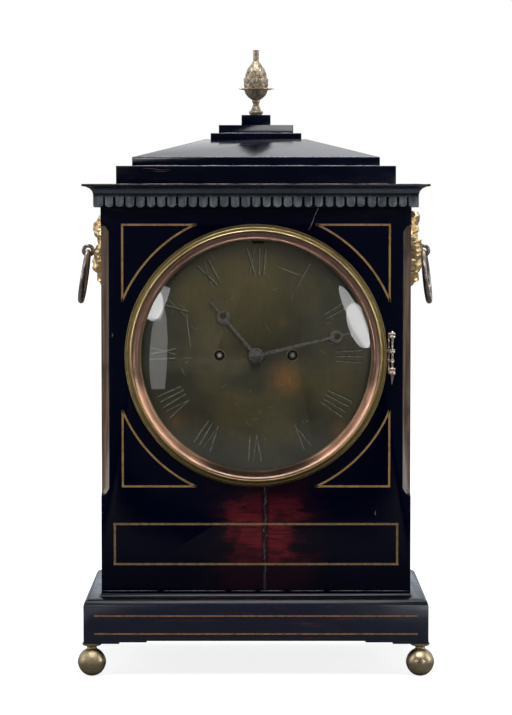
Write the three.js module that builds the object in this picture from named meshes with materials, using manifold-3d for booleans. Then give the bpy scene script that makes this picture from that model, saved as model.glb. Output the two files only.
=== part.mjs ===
// A bracket clock in an ebonised case: ball feet, a plinth, canted front corners, a dentil cornice, a
// stepped top and a finial; a convex glass in a hinged brass bezel over a round engraved dial; lion-mask
// ring handles; a glazed rear door; and an eight-day fusee movement with an anchor escapement and an hour
// strike.
// Millimetres, +X to the right of someone who faces the dial, +Y to the back, +Z up. The origin is on the
// table, under the middle of the plinth.
import * as THREE from "three";
import { mergeVertices } from "three/addons/utils/BufferGeometryUtils.js";
import Module from "manifold-3d";

const wasm = await Module();
wasm.setup();

// ---------------------------------------------------------------- sizes: clearances
const SEAT_GAP = 0.3; // between a piece and the round or cut piece that carries it
const PIVOT_GAP = 0.3; // an arbor's pivot in its hole, or a pin in its knuckle

// ---------------------------------------------------------------- sizes: feet and case
const FOOT_HEIGHT = 28;
const BALL_DIAMETER = 24;
const BALL_FLAT = 8; // diameter of the worn flat that stands on the table
const FOOT_NECK = 8;
const FOOT_SIDE_INSET = 6.6; // from the plinth's side to the foot's centre
const FOOT_END_INSET = 8; // from the plinth's front or back to the foot's centre

const BODY_WIDTH = 261;
const BODY_DEPTH = 155.8;
const BODY_HEIGHT = 328.5;
const PLINTH_HEIGHT = 35.5;
const PLINTH_PROJECTION = 14.6; // beyond the body, all round
const PLINTH_ROUND = 6;
const SKIRT_FILLET = 2.8; // the small moulding where the body meets the plinth
const SKIRT_RIM = 0.6;
const PAD_HEIGHT = 2.5; // the pads under the plinth's corners
const PAD_LENGTH = 30;
const PAD_STEP_LENGTH = 53;
const PAD_STEP_HEIGHT = 1.2;

const FRONT_WALL = 12; // the front and the back frame
const SIDE_WALL = 10;
const CANT = 6.8; // the 45-degree flat on each front corner
const CANT_SILL = 92; // from the plinth's top to the flat's lower end
const CANT_HEAD = 20; // from the flat's upper end to the body's top
const CANT_TONGUE = 7; // each end of the flat runs out over this height

const DENTIL_HEIGHT = 10.8;
const DENTIL_PROJECTION = 5.8;
const DENTIL_RECESS = 3;
const DENTIL_PITCH = 8.8;
const DENTIL_GAP_SHARE = 0.25; // of the pitch
const CORNICE_HEIGHT = 8.7;
const CORNICE_PROJECTION = 15;
const CORNICE_LIP = 1.7;
const TIER_HEIGHT = 15.5;
const TIER_SETBACK = 12.5; // inside the body's sides
const SLAB_HEIGHT = 7.5;
const SLAB_SETBACK = 25.5;
const PYRAMID_HEIGHT = 15.9;
const PYRAMID_TOP_WIDTH = 86;
const PYRAMID_TOP_DEPTH = 44;
const STEP_WIDTH = 78;
const STEP_DEPTH = 42;
const STEP_HEIGHT = 5.2;
const UPPER_STEP_WIDTH = 64;
const UPPER_STEP_DEPTH = 34;
const UPPER_STEP_HEIGHT = 7;
const FINIAL_BLOCK_WIDTH = 25;
const FINIAL_BLOCK_HEIGHT = 8.8;
const FINIAL_HEIGHT = 56.2;
const FINIAL_DIAMETER = 31.2; // over the tips of the leaf collar

// ---------------------------------------------------------------- sizes: side frets and handles
const FRET_WIDTH = 76;
const FRET_HEIGHT = 130;
const FRET_SILL = 84; // above the plinth's top
const FRET_THICKNESS = 1.5;
const FRET_DEPTH = 4; // from the side's face to the fret
const SCALE_WIDTH = 18;
const SCALE_HEIGHT = 22;
const FRET_MARGIN = 5;

const MASK_HEIGHT = 62;
const MASK_WIDTH = 52;
const MASK_DEPTH = 9.4;
const MASK_SILL = 259; // above the plinth's top
const EYE_SILL = 32; // from the mask's foot to the middle of the ring's eye
const EYE_WIRE = 2.4;
const EYE_HOLE = 6.2;
const EYE_SHANK = 2.6; // diameter of the shank that fastens the eye in the mask
const SHANK_DEPTH = 5;
const RING_DIAMETER = 45;
const RING_WIRE = 4;
const RING_TILT = 7; // degrees that the ring hangs out from the mask

// ---------------------------------------------------------------- sizes: bezel, glass and dial
const DIAL_HEIGHT = 204; // from the plinth's top to the dial's centre
const DIAL_RADIUS = 101.5;
const DIAL_THICKNESS = 2;
const DIAL_SETBACK = 3.9; // from the case front to the dial's face
const DIAL_GAP = 0.7; // round the dial in the case
const BEZEL_BORDER = 9; // the bezel's flange, outside the dial
const BEZEL_LIP = 4.2; // how far the bezel's lip covers the dial
const BEZEL_PROUD = 6.3; // height of the bezel's bead above the case front
const GLASS_THICKNESS = 2;
const GLASS_LAP = 1.4; // how far the bezel's lip covers the glass
const GLASS_RISE = 13.4;
const GLASS_SEAT = 1; // the glass's rim, in front of the case
const SIGHT_RING_THICKNESS = 1.5;
const SIGHT_RING_LAP = 2.1;
const SPIGOT_DEPTH = 1.2; // the bezel's rim that enters the case

const HINGE_OFFSET = 4; // from the bezel's edge to its hinge pin
const HINGE_PROUD = 3.6;
const HINGE_HEIGHT = 36; // over the three knuckles
const HINGE_PLATE_WIDTH = 5;
const HINGE_PLATE_THICKNESS = 0.9;
const KNUCKLE_DIAMETER = 4.8;
const HINGE_PIN = 2;
const HINGE_TAIL = 6;
const HINGE_LUG = 3; // how far the lug runs under the bezel's edge
const HINGE_WEB = 1.4; // half the thickness of a knuckle's web

const WINDING_OFFSET = 30.7; // from the dial's centre to each winding arbor
const WINDING_HOLE = 8.8;
const WINDING_SQUARE = 4.7;
const SQUARE_SETBACK = 1.7; // from the dial's back to the squares' ends
const DIAL_CENTRE_HOLE = 10;
const NOTCH_LEFT = -4; // the slot above the twelve
const NOTCH_RIGHT = 7;
const NOTCH_HEIGHT = 5.6;
const NOTCH_RIM = 1.9; // from the slot to the dial's edge
const DIAL_FOOT = 5;
const DIAL_FOOT_SPREAD = 52;
const DIAL_FOOT_RISE = 65;

const HAND_THICKNESS = 1.2;
const HAND_BOSS = 12.8;
const HAND_SHAFT = 2.8;
const HOUR_HAND_LENGTH = 62;
const HOUR_MOON_RADIUS = 42; // from the dial's centre to the hand's pierced moon
const HOUR_MOON = 11.6;
const HOUR_HAND_ANGLE = 319.8; // degrees clockwise from the twelve
const MINUTE_HAND_LENGTH = 83;
const MINUTE_MOON_RADIUS = 69;
const MINUTE_MOON = 11;
const MINUTE_HAND_ANGLE = 76.6;
const MOON_EYE_SHARE = 0.5; // the moon's hole, of its diameter
const HOUR_HAND_RISE = 1.2; // from the dial's face to the back of the hour hand
const HAND_SPACING = 1.1; // between the two hands
const COLLET_DIAMETER = 8.6;
const COLLET_HEIGHT = 2.8;
const COLLET_PIN = 1.4;

// ---------------------------------------------------------------- sizes: rear door
const DOOR_WIDTH = 180;
const DOOR_SILL = 44; // from the plinth's top to the door's opening
const DOOR_HEAD = 24.5; // from the door's opening to the body's top
const DOOR_HINGE_GAP = 0.5;
const DOOR_GAP = 1;
const DOOR_RAIL = 19;
const DOOR_REBATE = 3.5;
const DOOR_REBATE_DEPTH = 6;
const DOOR_GLASS = 2;
const LEAF_HEIGHT = 30;
const LEAF_WIDTH = 14;
const LEAF_THICKNESS = 1.2;
const LEAF_KNUCKLE = 4.4;
const LEAF_PIN = 1.8;
const LEAF_INSET = 32; // from the door's top or bottom to a hinge
const LEAF_CLEARANCE = 0.6; // between a leaf and the knuckles or the pin
const LEAF_STANDOFF = 0.2; // between the case's back and the knuckles

// ---------------------------------------------------------------- sizes: movement
const SEAT_BOARD_HEIGHT = 104; // from the plinth's top to the board's underside
const SEAT_BOARD_THICKNESS = 12;
const SEAT_BOARD_BACK = 4; // how far the board runs behind the back plate
const PLATE_WIDTH = 130;
const PLATE_HEIGHT = 165;
const PLATE_THICKNESS = 3;
const PLATE_SPACING = 62;
const DIAL_TO_PLATE = 12; // from the dial's back to the front plate
const PILLAR_DIAMETER = 7;
const PILLAR_INSET = 8;
const ADDENDUM = 0.55; // of the module, above the pitch circle
const DEDENDUM = 1.1; // of the module, below it
const GREAT_WHEEL_TEETH = 72;
const GREAT_PINION_LEAVES = 8;
const TRAIN_MODULE = 0.6;
const FAST_MODULE = 0.5;
const TRAIN_WHEEL_TEETH = 60;
const SMALL_PINION_LEAVES = 6;
const PIN_WHEEL_TEETH = 48;
const GATHERING_WHEEL_TEETH = 42;
const ESCAPE_TEETH = 40;
const ESCAPE_RADIUS = 13;
const ESCAPE_ROOT = 0.85; // of that radius, at the foot of a tooth
const ESCAPE_RAKE = 0.3; // of a tooth's pitch, from its tip to its foot
const CANNON_TEETH = 15;
const MINUTE_WHEEL_TEETH = 30;
const HOUR_PINION_LEAVES = 8;
const HOUR_WHEEL_TEETH = 48;
const WHEEL_THICKNESS = 1.5;
const PINION_THICKNESS = 5;
const GREAT_WHEEL_THICKNESS = 2.5;
const ARBOR = 2.4;
const PIVOT = 1.4;
const FUSEE_PIVOT = 6.8;
const FUSEE_LENGTH = 33;
const FUSEE_LARGE = 40;
const FUSEE_SMALL = 16;
const BARREL_DIAMETER = 44;
const BARREL_LENGTH = 50;
const BARREL_OFFSET = 32;
const BARREL_DROP = 57; // below the fusees
const THIRD_OFFSET = 5; // the third wheel's arbor, to the right of the centre
const GATHERING_ANGLE = 58; // degrees up from the right, seen from the pin wheel
const FLY_ANGLE = 109; // the same, seen from the gathering wheel

// The planes of the wheels, by distance behind the front plate.
const GREAT_WHEEL_PLANE = 4;
const STRIKE_WHEEL_PLANE = 9; // the strike's great wheel, clear of the centre pinion
const GATHERING_WHEEL_PLANE = 27;
const HAMMER_PLANE = 29;
const FLY_PLANE = 33;
const PIN_WHEEL_PLANE = 37;
const CENTRE_WHEEL_PLANE = 43;
const THIRD_WHEEL_PLANE = 49;
const ESCAPE_WHEEL_PLANE = 55;
const MOTION_PLANE = 3.5; // the motion work's, in front of the front plate
const HOUR_WHEEL_PLANE = 7;

const ANCHOR_RISE = 21; // from the escape wheel to the anchor's arbor
const PALLET_CLEARANCE = 1.3;
const PENDULUM_LENGTH = 201; // 8,000 beats an hour
const BOB_DIAMETER = 44;
const BOB_THICKNESS = 9;
const ROD_DIAMETER = 3;
const PENDULUM_BEHIND = 14; // from the back plate to the pendulum's rod
const CRUTCH_LENGTH = 50;
const CRUTCH_THICKNESS = 2;
const CRUTCH_STANDOFF = 3; // from the back plate to the crutch
const FORK_DEPTH = 4;
const COCK_SPAN = 40;
const COCK_FOOT = 6;
const COCK_RISE = 7;
const COCK_THICKNESS = 3;
const COCK_HALF_HEIGHT = 8;
const SUSPENSION_RISE = 3; // from the anchor's arbor to the block that holds the pendulum
const SUSPENSION_BLOCK = 8;
const RATING_NUT = 6;
const STUD = 1.4; // the post on the front plate that the minute wheel turns on
const STRIKE_PINS = 8;
const STRIKE_PIN = 1.2;
const FLY_RADIUS = 7.6;
const FLY_LENGTH = 18;
const FLY_THICKNESS = 1;
const BELL_DIAMETER = 76;
const BELL_HEIGHT = 26;
const BELL_WALL = 2;
const BELL_LIFT = 7; // from the plates' top to the bell's mouth
const BELL_HOLE = 4.6;
const STAND_OFFSET = 42; // the bell's stand, to the right of the centre
const STAND_WIDTH = 6;
const STAND_THICKNESS = 3;
const STAND_FOOT = 26; // how far down the back plate the stand is fixed
const STAND_CLEARANCE = 3;
const HAMMER_HEAD = 8;
const HAMMER_LENGTH = 36;
const HAMMER_ARM = 4;
const HAMMER_TAIL = 10;
const HAMMER_OFFSET = 46; // the hammer's arbor, to the left of the centre
const HAMMER_RISE = 52; // from the dial's centre to the hammer's arbor
const HAMMER_REST = 2.2; // from the hammer to the bell, at rest

// ---------------------------------------------------------------- sizes: fineness of the large rings
const RIM_SEGMENTS = 48;

// ---------------------------------------------------------------- levels and places that follow
const plinthUnderside = FOOT_HEIGHT + PAD_HEIGHT;
const plinthTop = plinthUnderside + PLINTH_HEIGHT;
const bodyTop = plinthTop + BODY_HEIGHT;
const dentilTop = bodyTop + DENTIL_HEIGHT;
const corniceTop = dentilTop + CORNICE_HEIGHT;
const tierTop = corniceTop + TIER_HEIGHT;
const slabTop = tierTop + SLAB_HEIGHT;
const pyramidTop = slabTop + PYRAMID_HEIGHT;
const stepTop = pyramidTop + STEP_HEIGHT;
const upperStepTop = stepTop + UPPER_STEP_HEIGHT;
const finialBase = upperStepTop + FINIAL_BLOCK_HEIGHT;
const side = BODY_WIDTH / 2;
const back = BODY_DEPTH / 2;
const front = -back;
const sideInside = side - SIDE_WALL;
const frontInside = front + FRONT_WALL;
const backInside = back - FRONT_WALL;
const dialCentre = plinthTop + DIAL_HEIGHT;
const proud = (distance) => front - distance; // y of a point so far in front of the case
const dialFace = proud(-DIAL_SETBACK);
const dialBack = dialFace + DIAL_THICKNESS;
const frontPlateFace = dialBack + DIAL_TO_PLATE;
const frontPlateBack = frontPlateFace + PLATE_THICKNESS;
const backPlateFace = frontPlateBack + PLATE_SPACING;
const backPlateBack = backPlateFace + PLATE_THICKNESS;
const seatTop = plinthTop + SEAT_BOARD_HEIGHT + SEAT_BOARD_THICKNESS;
const plateTop = seatTop + PLATE_HEIGHT;
const rodPlace = backPlateBack + PENDULUM_BEHIND;
const bezelRadius = DIAL_RADIUS + BEZEL_BORDER;
const sightRadius = DIAL_RADIUS - BEZEL_LIP;
const hingeRadius = bezelRadius + HINGE_OFFSET;

// ---------------------------------------------------------------- helpers: closed geometries
const polar = (angle, radius, x = 0, y = 0) =>
  new THREE.Vector2(x + radius * Math.cos(angle), y + radius * Math.sin(angle));

function block(x0, x1, y0, y1, z0, z1) {
  const geometry = new THREE.BoxGeometry(x1 - x0, y1 - y0, z1 - z0);
  return geometry.translate((x0 + x1) / 2, (y0 + y1) / 2, (z0 + z1) / 2);
}

function circle(radius, segments, x = 0, y = 0) {
  const points = [];
  for (let i = 0; i < segments; i++)
    points.push(polar((2 * Math.PI * i) / segments, radius, x, y));
  return points;
}

function sheet(outline, holes, thickness) {
  const shape = new THREE.Shape(outline);
  shape.holes = holes.map((points) => new THREE.Path(points));
  return new THREE.ExtrudeGeometry(shape, { depth: thickness, bevelEnabled: false });
}

// A flat piece whose outline is drawn in X and Z, from y0 back to y1.
function upright(outline, y0, y1, holes = []) {
  return sheet(outline, holes, y1 - y0).rotateX(Math.PI / 2).translate(0, y1, 0);
}

// A flat piece whose outline is drawn in Y and Z, from x0 to x1.
function endways(outline, x0, x1, holes = []) {
  return sheet(outline, holes, x1 - x0)
    .rotateX(Math.PI / 2)
    .rotateZ(Math.PI / 2)
    .translate(x0, 0, 0);
}

// A flat piece whose outline is drawn in X and Y, from z0 up to z1.
function level(outline, z0, z1, holes = []) {
  return sheet(outline, holes, z1 - z0).translate(0, 0, z0);
}

const profile = (pairs) => pairs.map(([radius, along]) => new THREE.Vector2(radius, along));

// Turned about a line along Y through (x, z); the pairs are radius and y.
function turned(pairs, segments, x = 0, z = 0) {
  return new THREE.LatheGeometry(profile(pairs), segments).translate(x, 0, z);
}

// Turned about a vertical line through (x, y); the pairs are radius and z.
function turnedUp(pairs, segments, x = 0, y = 0) {
  return new THREE.LatheGeometry(profile(pairs), segments)
    .rotateX(Math.PI / 2)
    .translate(x, y, 0);
}

const pin = (radius, y0, y1, segments, x, z) =>
  turned([[0, y0], [radius, y0], [radius, y1], [0, y1]], segments, x, z);

const post = (radius, z0, z1, segments, x, y) =>
  turnedUp([[0, z0], [radius, z0], [radius, z1], [0, z1]], segments, x, y);

const crossPin = (radius, x0, x1, segments, y, z) =>
  post(radius, x0, x1, segments, 0, 0).rotateY(Math.PI / 2).translate(0, y, z);

// Rings of equal numbers of [x, y, z] points, joined in order and capped at both ends.
function loft(rings) {
  const count = rings[0].length;
  const index = [];
  for (let r = 0; r + 1 < rings.length; r++)
    for (let i = 0; i < count; i++) {
      const a = r * count + i;
      const b = r * count + ((i + 1) % count);
      index.push(a, b, b + count, a, b + count, a + count);
    }
  const last = (rings.length - 1) * count;
  for (let i = 1; i + 1 < count; i++) {
    index.push(0, i + 1, i);
    index.push(last, last + i, last + i + 1);
  }
  const geometry = new THREE.BufferGeometry();
  geometry.setAttribute("position", new THREE.Float32BufferAttribute(rings.flat(2), 3));
  geometry.setIndex(index);
  return geometry;
}

const rectangle = (halfX, halfY, z) => [
  [-halfX, -halfY, z],
  [halfX, -halfY, z],
  [halfX, halfY, z],
  [-halfX, halfY, z],
];

// A moulded block round the case: each pair is a projection beyond the body's sides, and a height.
const moulding = (pairs) =>
  loft(pairs.map(([projection, z]) => rectangle(side + projection, back + projection, z)));

// ---------------------------------------------------------------- helpers: joining and cutting
function solidOf(geometry) {
  const plain = new THREE.BufferGeometry();
  plain.setAttribute("position", geometry.getAttribute("position").clone());
  if (geometry.index) plain.setIndex(geometry.index.clone());
  const merged = mergeVertices(plain, 1e-4);
  const build = (triVerts) =>
    new wasm.Manifold(
      new wasm.Mesh({
        numProp: 3,
        vertProperties: merged.getAttribute("position").array,
        triVerts,
      }),
    );
  const corners = new Uint32Array(merged.index.array);
  const made = build(corners);
  if (made.volume() > 0) return made;
  for (let i = 0; i < corners.length; i += 3)
    [corners[i + 1], corners[i + 2]] = [corners[i + 2], corners[i + 1]];
  return build(corners);
}

function geometryOf(solid) {
  const mesh = solid.getMesh();
  const geometry = new THREE.BufferGeometry();
  geometry.setAttribute("position", new THREE.BufferAttribute(mesh.vertProperties, 3));
  geometry.setIndex(new THREE.BufferAttribute(mesh.triVerts, 1));
  const flat = geometry.toNonIndexed();
  flat.computeVertexNormals();
  return flat;
}

const join = (...geometries) => geometries.map(solidOf).reduce((a, b) => a.add(b));
const cut = (solid, ...tools) => tools.map(solidOf).reduce((a, b) => a.subtract(b), solid);

// ---------------------------------------------------------------- materials
const material = (color, roughness, metalness) =>
  new THREE.MeshStandardMaterial({ color, roughness, metalness });
const ebonised = material(0x14181f, 0.35, 0);
const oak = material(0x5a3f28, 0.7, 0);
const brass = material(0x9a8050, 0.35, 1);
const gilt = material(0xd4a860, 0.4, 1);
const dialBrass = material(0x55523f, 0.5, 0.9);
const steel = material(0x8a8d90, 0.35, 1);
const bronze = material(0x4a4038, 0.45, 0.9);
const bellMetal = material(0xa8935c, 0.3, 1);
const clear = material(0xe8f0f0, 0.02, 0);
clear.transparent = true;
clear.opacity = 0.2;

const clock = new THREE.Group();

function add(name, shape, finish, parent = clock) {
  const geometry = shape.isBufferGeometry ? geometryOf(solidOf(shape)) : geometryOf(shape);
  const mesh = new THREE.Mesh(geometry, finish);
  mesh.name = name;
  parent.add(mesh);
  return mesh;
}

// ---------------------------------------------------------------- feet and plinth
const ballRadius = BALL_DIAMETER / 2;
const ballCentre = Math.sqrt(ballRadius ** 2 - (BALL_FLAT / 2) ** 2);

function footProfile() {
  const steps = 7;
  const from = -Math.acos(BALL_FLAT / 2 / ballRadius);
  const to = Math.acos(FOOT_NECK / 2 / ballRadius);
  const pairs = [[0, 0]];
  for (let i = 0; i <= steps; i++) {
    const angle = from + ((to - from) * i) / steps;
    pairs.push([ballRadius * Math.cos(angle), ballCentre + ballRadius * Math.sin(angle)]);
  }
  pairs[1][1] = 0;
  return [...pairs, [FOOT_NECK / 2, FOOT_HEIGHT], [0, FOOT_HEIGHT]];
}

const footX = side + PLINTH_PROJECTION - FOOT_SIDE_INSET;
const footY = back + PLINTH_PROJECTION - FOOT_END_INSET;
for (const [end, y] of [["front", -footY], ["back", footY]])
  for (const [hand, x] of [["left", -footX], ["right", footX]])
    add(`foot_${end}_${hand}`, turnedUp(footProfile(), 12), brass).position.set(x, y, 0);

function plinthSolid() {
  const steps = 3;
  const pairs = [[PLINTH_PROJECTION, plinthUnderside]];
  for (let i = 0; i <= steps; i++) {
    const angle = (Math.PI / 2) * (i / steps);
    pairs.push([
      PLINTH_PROJECTION - PLINTH_ROUND * (1 - Math.cos(angle)),
      plinthTop - PLINTH_ROUND * (1 - Math.sin(angle)),
    ]);
  }
  for (let i = 0; i <= steps; i++) {
    const angle = (Math.PI / 2) * (i / steps);
    pairs.push([
      SKIRT_RIM + SKIRT_FILLET * (1 - Math.sin(angle)),
      plinthTop + SKIRT_FILLET * (1 - Math.cos(angle)),
    ]);
  }
  const plinthX = side + PLINTH_PROJECTION;
  const plinthY = back + PLINTH_PROJECTION;
  const pads = [];
  for (const sx of [-1, 1])
    for (const sy of [-1, 1])
      for (const [length, depth] of [[PAD_LENGTH, PAD_HEIGHT], [PAD_STEP_LENGTH, PAD_STEP_HEIGHT]]) {
        const xs = [sx * plinthX, sx * (plinthX - length)].sort((a, b) => a - b);
        const ys = [sy * plinthY, sy * (plinthY - length)].sort((a, b) => a - b);
        pads.push(block(...xs, ...ys, plinthUnderside - depth, plinthUnderside + 1));
      }
  return cut(
    join(moulding(pairs), ...pads),
    block(-side, side, front, back, plinthTop, plinthTop + 2 * SKIRT_FILLET),
  );
}
add("plinth", plinthSolid(), ebonised);

// ---------------------------------------------------------------- body
const dialOpening = DIAL_RADIUS + DIAL_GAP;

const framed = (halfWidth, z0, z1) => [
  new THREE.Vector2(-halfWidth, z0),
  new THREE.Vector2(halfWidth, z0),
  new THREE.Vector2(halfWidth, z1),
  new THREE.Vector2(-halfWidth, z1),
];

// The tool that cuts the flat on a front corner; at each end it runs out in a short curve.
function cantTool(sign) {
  const reach = 1;
  const sill = plinthTop + CANT_SILL;
  const head = bodyTop - CANT_HEAD;
  const levels = [
    [sill - CANT_TONGUE, -0.5],
    [sill - CANT_TONGUE * 0.6, CANT * 0.62],
    [sill, CANT],
    [head, CANT],
    [head + CANT_TONGUE * 0.6, CANT * 0.62],
    [head + CANT_TONGUE, -0.5],
  ];
  return loft(
    levels.map(([z, depth]) => [
      [sign * (side - depth - reach), front - reach, z],
      [sign * (side + reach), front - reach, z],
      [sign * (side + reach), front + depth + reach, z],
    ]),
  );
}

add(
  "case_front",
  cut(
    solidOf(
      upright(framed(side, plinthTop, bodyTop), front, frontInside, [
        circle(dialOpening, RIM_SEGMENTS, 0, dialCentre),
      ]),
    ),
    cantTool(-1),
    cantTool(1),
  ),
  ebonised,
);

// The arched outline of a side fret, drawn in Y and Z, smaller by a margin all round.
const fretSill = plinthTop + FRET_SILL;
const fretSpring = fretSill + FRET_HEIGHT - FRET_WIDTH / 2;
function fretOutline(margin) {
  const steps = 12;
  const half = FRET_WIDTH / 2 - margin;
  const points = [new THREE.Vector2(-half, fretSill + margin)];
  points.push(new THREE.Vector2(half, fretSill + margin));
  for (let i = 0; i <= steps; i++)
    points.push(polar((Math.PI * i) / steps, half, 0, fretSpring));
  return points;
}

function insideFret(point) {
  const half = FRET_WIDTH / 2 - FRET_MARGIN;
  if (point.y < fretSill + FRET_MARGIN) return false;
  if (point.y < fretSpring) return Math.abs(point.x) < half;
  return Math.hypot(point.x, point.y - fretSpring) < half;
}

// Fish-scale piercings in staggered rows.
function fretHoles() {
  const scale = [[0, 0.42], [-0.36, 0.14], [-0.36, -0.12], [-0.17, -0.32], [0.17, -0.32]];
  scale.push([0.36, -0.12], [0.36, 0.14]);
  const holes = [];
  const rows = Math.floor(FRET_HEIGHT / SCALE_HEIGHT) + 1;
  const columns = Math.floor(FRET_WIDTH / SCALE_WIDTH) + 1;
  for (let row = 0; row <= rows; row++)
    for (let column = -columns; column <= columns; column++) {
      const y = (column + (row % 2) / 2) * SCALE_WIDTH;
      const z = fretSill + FRET_MARGIN + (row + 0.35) * SCALE_HEIGHT;
      const hole = scale.map(
        ([u, v]) => new THREE.Vector2(y + u * SCALE_WIDTH, z + v * SCALE_HEIGHT),
      );
      if (hole.every(insideFret)) holes.push(hole);
    }
  return holes;
}

for (const [hand, sign] of [["left", -1], ["right", 1]]) {
  const wall = [sign * sideInside, sign * side].sort((a, b) => a - b);
  const outline = [
    new THREE.Vector2(frontInside, plinthTop),
    new THREE.Vector2(backInside, plinthTop),
    new THREE.Vector2(backInside, bodyTop),
    new THREE.Vector2(frontInside, bodyTop),
  ];
  add(`case_${hand}_side`, endways(outline, ...wall, [fretOutline(0)]), ebonised);
  const face = side - FRET_DEPTH;
  const sheetFaces = [sign * face, sign * (face - FRET_THICKNESS)].sort((a, b) => a - b);
  add(`side_fret_${hand}`, endways(fretOutline(SEAT_GAP), ...sheetFaces, fretHoles()), brass);
}

const doorSill = plinthTop + DOOR_SILL;
const doorHead = bodyTop - DOOR_HEAD;
add(
  "case_back_frame",
  upright(framed(side, plinthTop, bodyTop), backInside, back, [
    framed(DOOR_WIDTH / 2, doorSill, doorHead),
  ]),
  ebonised,
);

add(
  "seat_board",
  block(
    -sideInside,
    sideInside,
    frontInside,
    backPlateBack + SEAT_BOARD_BACK,
    plinthTop + SEAT_BOARD_HEIGHT,
    seatTop,
  ),
  oak,
);

// ---------------------------------------------------------------- cornice and top
// The dentil band's plan: round the four sides, teeth and gaps that start and end with a tooth.
function dentilOutline() {
  const halfX = side + DENTIL_PROJECTION;
  const halfY = back + DENTIL_PROJECTION;
  const corners = [[-halfX, -halfY], [halfX, -halfY], [halfX, halfY], [-halfX, halfY]];
  const points = [];
  corners.forEach(([x, y], i) => {
    const [nextX, nextY] = corners[(i + 1) % corners.length];
    const length = Math.hypot(nextX - x, nextY - y);
    const along = [(nextX - x) / length, (nextY - y) / length];
    const count = Math.round(length / DENTIL_PITCH + DENTIL_GAP_SHARE);
    const pitch = length / (count - DENTIL_GAP_SHARE);
    const put = (distance, depth) =>
      points.push(
        new THREE.Vector2(
          x + along[0] * distance - along[1] * depth,
          y + along[1] * distance + along[0] * depth,
        ),
      );
    put(0, 0);
    for (let k = 0; k + 1 < count; k++) {
      const end = (k + 1 - DENTIL_GAP_SHARE) * pitch;
      put(end, 0);
      put(end, DENTIL_RECESS);
      put((k + 1) * pitch, DENTIL_RECESS);
      put((k + 1) * pitch, 0);
    }
  });
  return points;
}
add("dentil_band", level(dentilOutline(), bodyTop, dentilTop), ebonised);

function corniceProfile() {
  const steps = 4;
  const sweep = CORNICE_PROJECTION - DENTIL_PROJECTION;
  const rise = CORNICE_HEIGHT - CORNICE_LIP;
  const pairs = [];
  for (let i = 0; i <= steps; i++) {
    const angle = (Math.PI / 2) * (i / steps);
    pairs.push([
      DENTIL_PROJECTION + sweep * (1 - Math.cos(angle)),
      dentilTop + rise * Math.sin(angle),
    ]);
  }
  return [...pairs, [CORNICE_PROJECTION, corniceTop]];
}
add("cornice", moulding(corniceProfile()), ebonised);
add("top_tier", moulding([[-TIER_SETBACK, corniceTop], [-TIER_SETBACK, tierTop]]), ebonised);
add(
  "top_pyramid",
  loft([
    rectangle(side - SLAB_SETBACK, back - SLAB_SETBACK, tierTop),
    rectangle(side - SLAB_SETBACK, back - SLAB_SETBACK, slabTop),
    rectangle(PYRAMID_TOP_WIDTH / 2, PYRAMID_TOP_DEPTH / 2, pyramidTop),
  ]),
  ebonised,
);
add(
  "top_step",
  join(
    loft([
      rectangle(STEP_WIDTH / 2, STEP_DEPTH / 2, pyramidTop),
      rectangle(STEP_WIDTH / 2, STEP_DEPTH / 2, stepTop),
    ]),
    loft([
      rectangle(UPPER_STEP_WIDTH / 2, UPPER_STEP_DEPTH / 2, stepTop - STEP_HEIGHT / 2),
      rectangle(UPPER_STEP_WIDTH / 2, UPPER_STEP_DEPTH / 2, upperStepTop),
    ]),
  ),
  ebonised,
);
add(
  "finial_block",
  loft([
    rectangle(FINIAL_BLOCK_WIDTH / 2, FINIAL_BLOCK_WIDTH / 2, upperStepTop),
    rectangle(FINIAL_BLOCK_WIDTH / 2, FINIAL_BLOCK_WIDTH / 2, finialBase),
  ]),
  ebonised,
);

// The finial's turned outline, as shares of its half diameter and its height.
const FINIAL_PROFILE = [
  [0, 0], [0.37, 0], [0.39, 0.04], [0.27, 0.1], [0.2, 0.16], [0.31, 0.25], [0.52, 0.31], [0.62, 0.37],
  [0.98, 0.4], [1, 0.41], [0.7, 0.43], [0.7, 0.5], [0.66, 0.57], [0.53, 0.69], [0.33, 0.8], [0.17, 0.87],
  [0.17, 1], [0, 1],
];
add(
  "finial",
  turnedUp(
    FINIAL_PROFILE.map(([r, h]) => [(r * FINIAL_DIAMETER) / 2, finialBase + h * FINIAL_HEIGHT]),
    16,
  ),
  brass,
);

// ---------------------------------------------------------------- lion-mask handles
const maskSill = plinthTop + MASK_SILL;
const eyeHeight = maskSill + EYE_SILL;
const eyeX = side + MASK_DEPTH + SEAT_GAP + EYE_HOLE / 2 + EYE_WIRE;
const ringHang = eyeHeight - (EYE_HOLE - RING_WIRE) / 2 + SEAT_GAP;

// A mask's swelling outline: shares of its height, half width and depth, from the chin up to the mane.
const MASK_SECTIONS = [
  [0, 0.24, 0.3], [0.05, 0.4, 0.9], [0.13, 0.52, 1], [0.22, 0.64, 0.8], [0.3, 0.74, 0.86],
  [0.36, 0.82, 1], [0.6, 0.94, 1], [0.67, 1, 0.62], [0.76, 0.98, 0.8], [0.9, 0.76, 0.78], [1, 0.36, 0.34],
];

function maskSolid(sign) {
  const steps = 8;
  const rings = MASK_SECTIONS.map(([height, width, depth]) => {
    const ring = [];
    for (let i = 0; i <= steps; i++) {
      const angle = (Math.PI * i) / steps;
      ring.push([
        sign * (side + depth * MASK_DEPTH * Math.sin(angle)),
        (width * MASK_WIDTH * Math.cos(angle)) / 2,
        maskSill + height * MASK_HEIGHT,
      ]);
    }
    return ring;
  });
  const reach = [
    sign * (side + MASK_DEPTH - SHANK_DEPTH - SEAT_GAP),
    sign * (side + MASK_DEPTH + 1),
  ].sort((a, b) => a - b);
  const hole = crossPin(EYE_SHANK / 2 + SEAT_GAP, ...reach, 10, 0, eyeHeight);
  return cut(solidOf(loft(rings)), hole);
}

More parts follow.
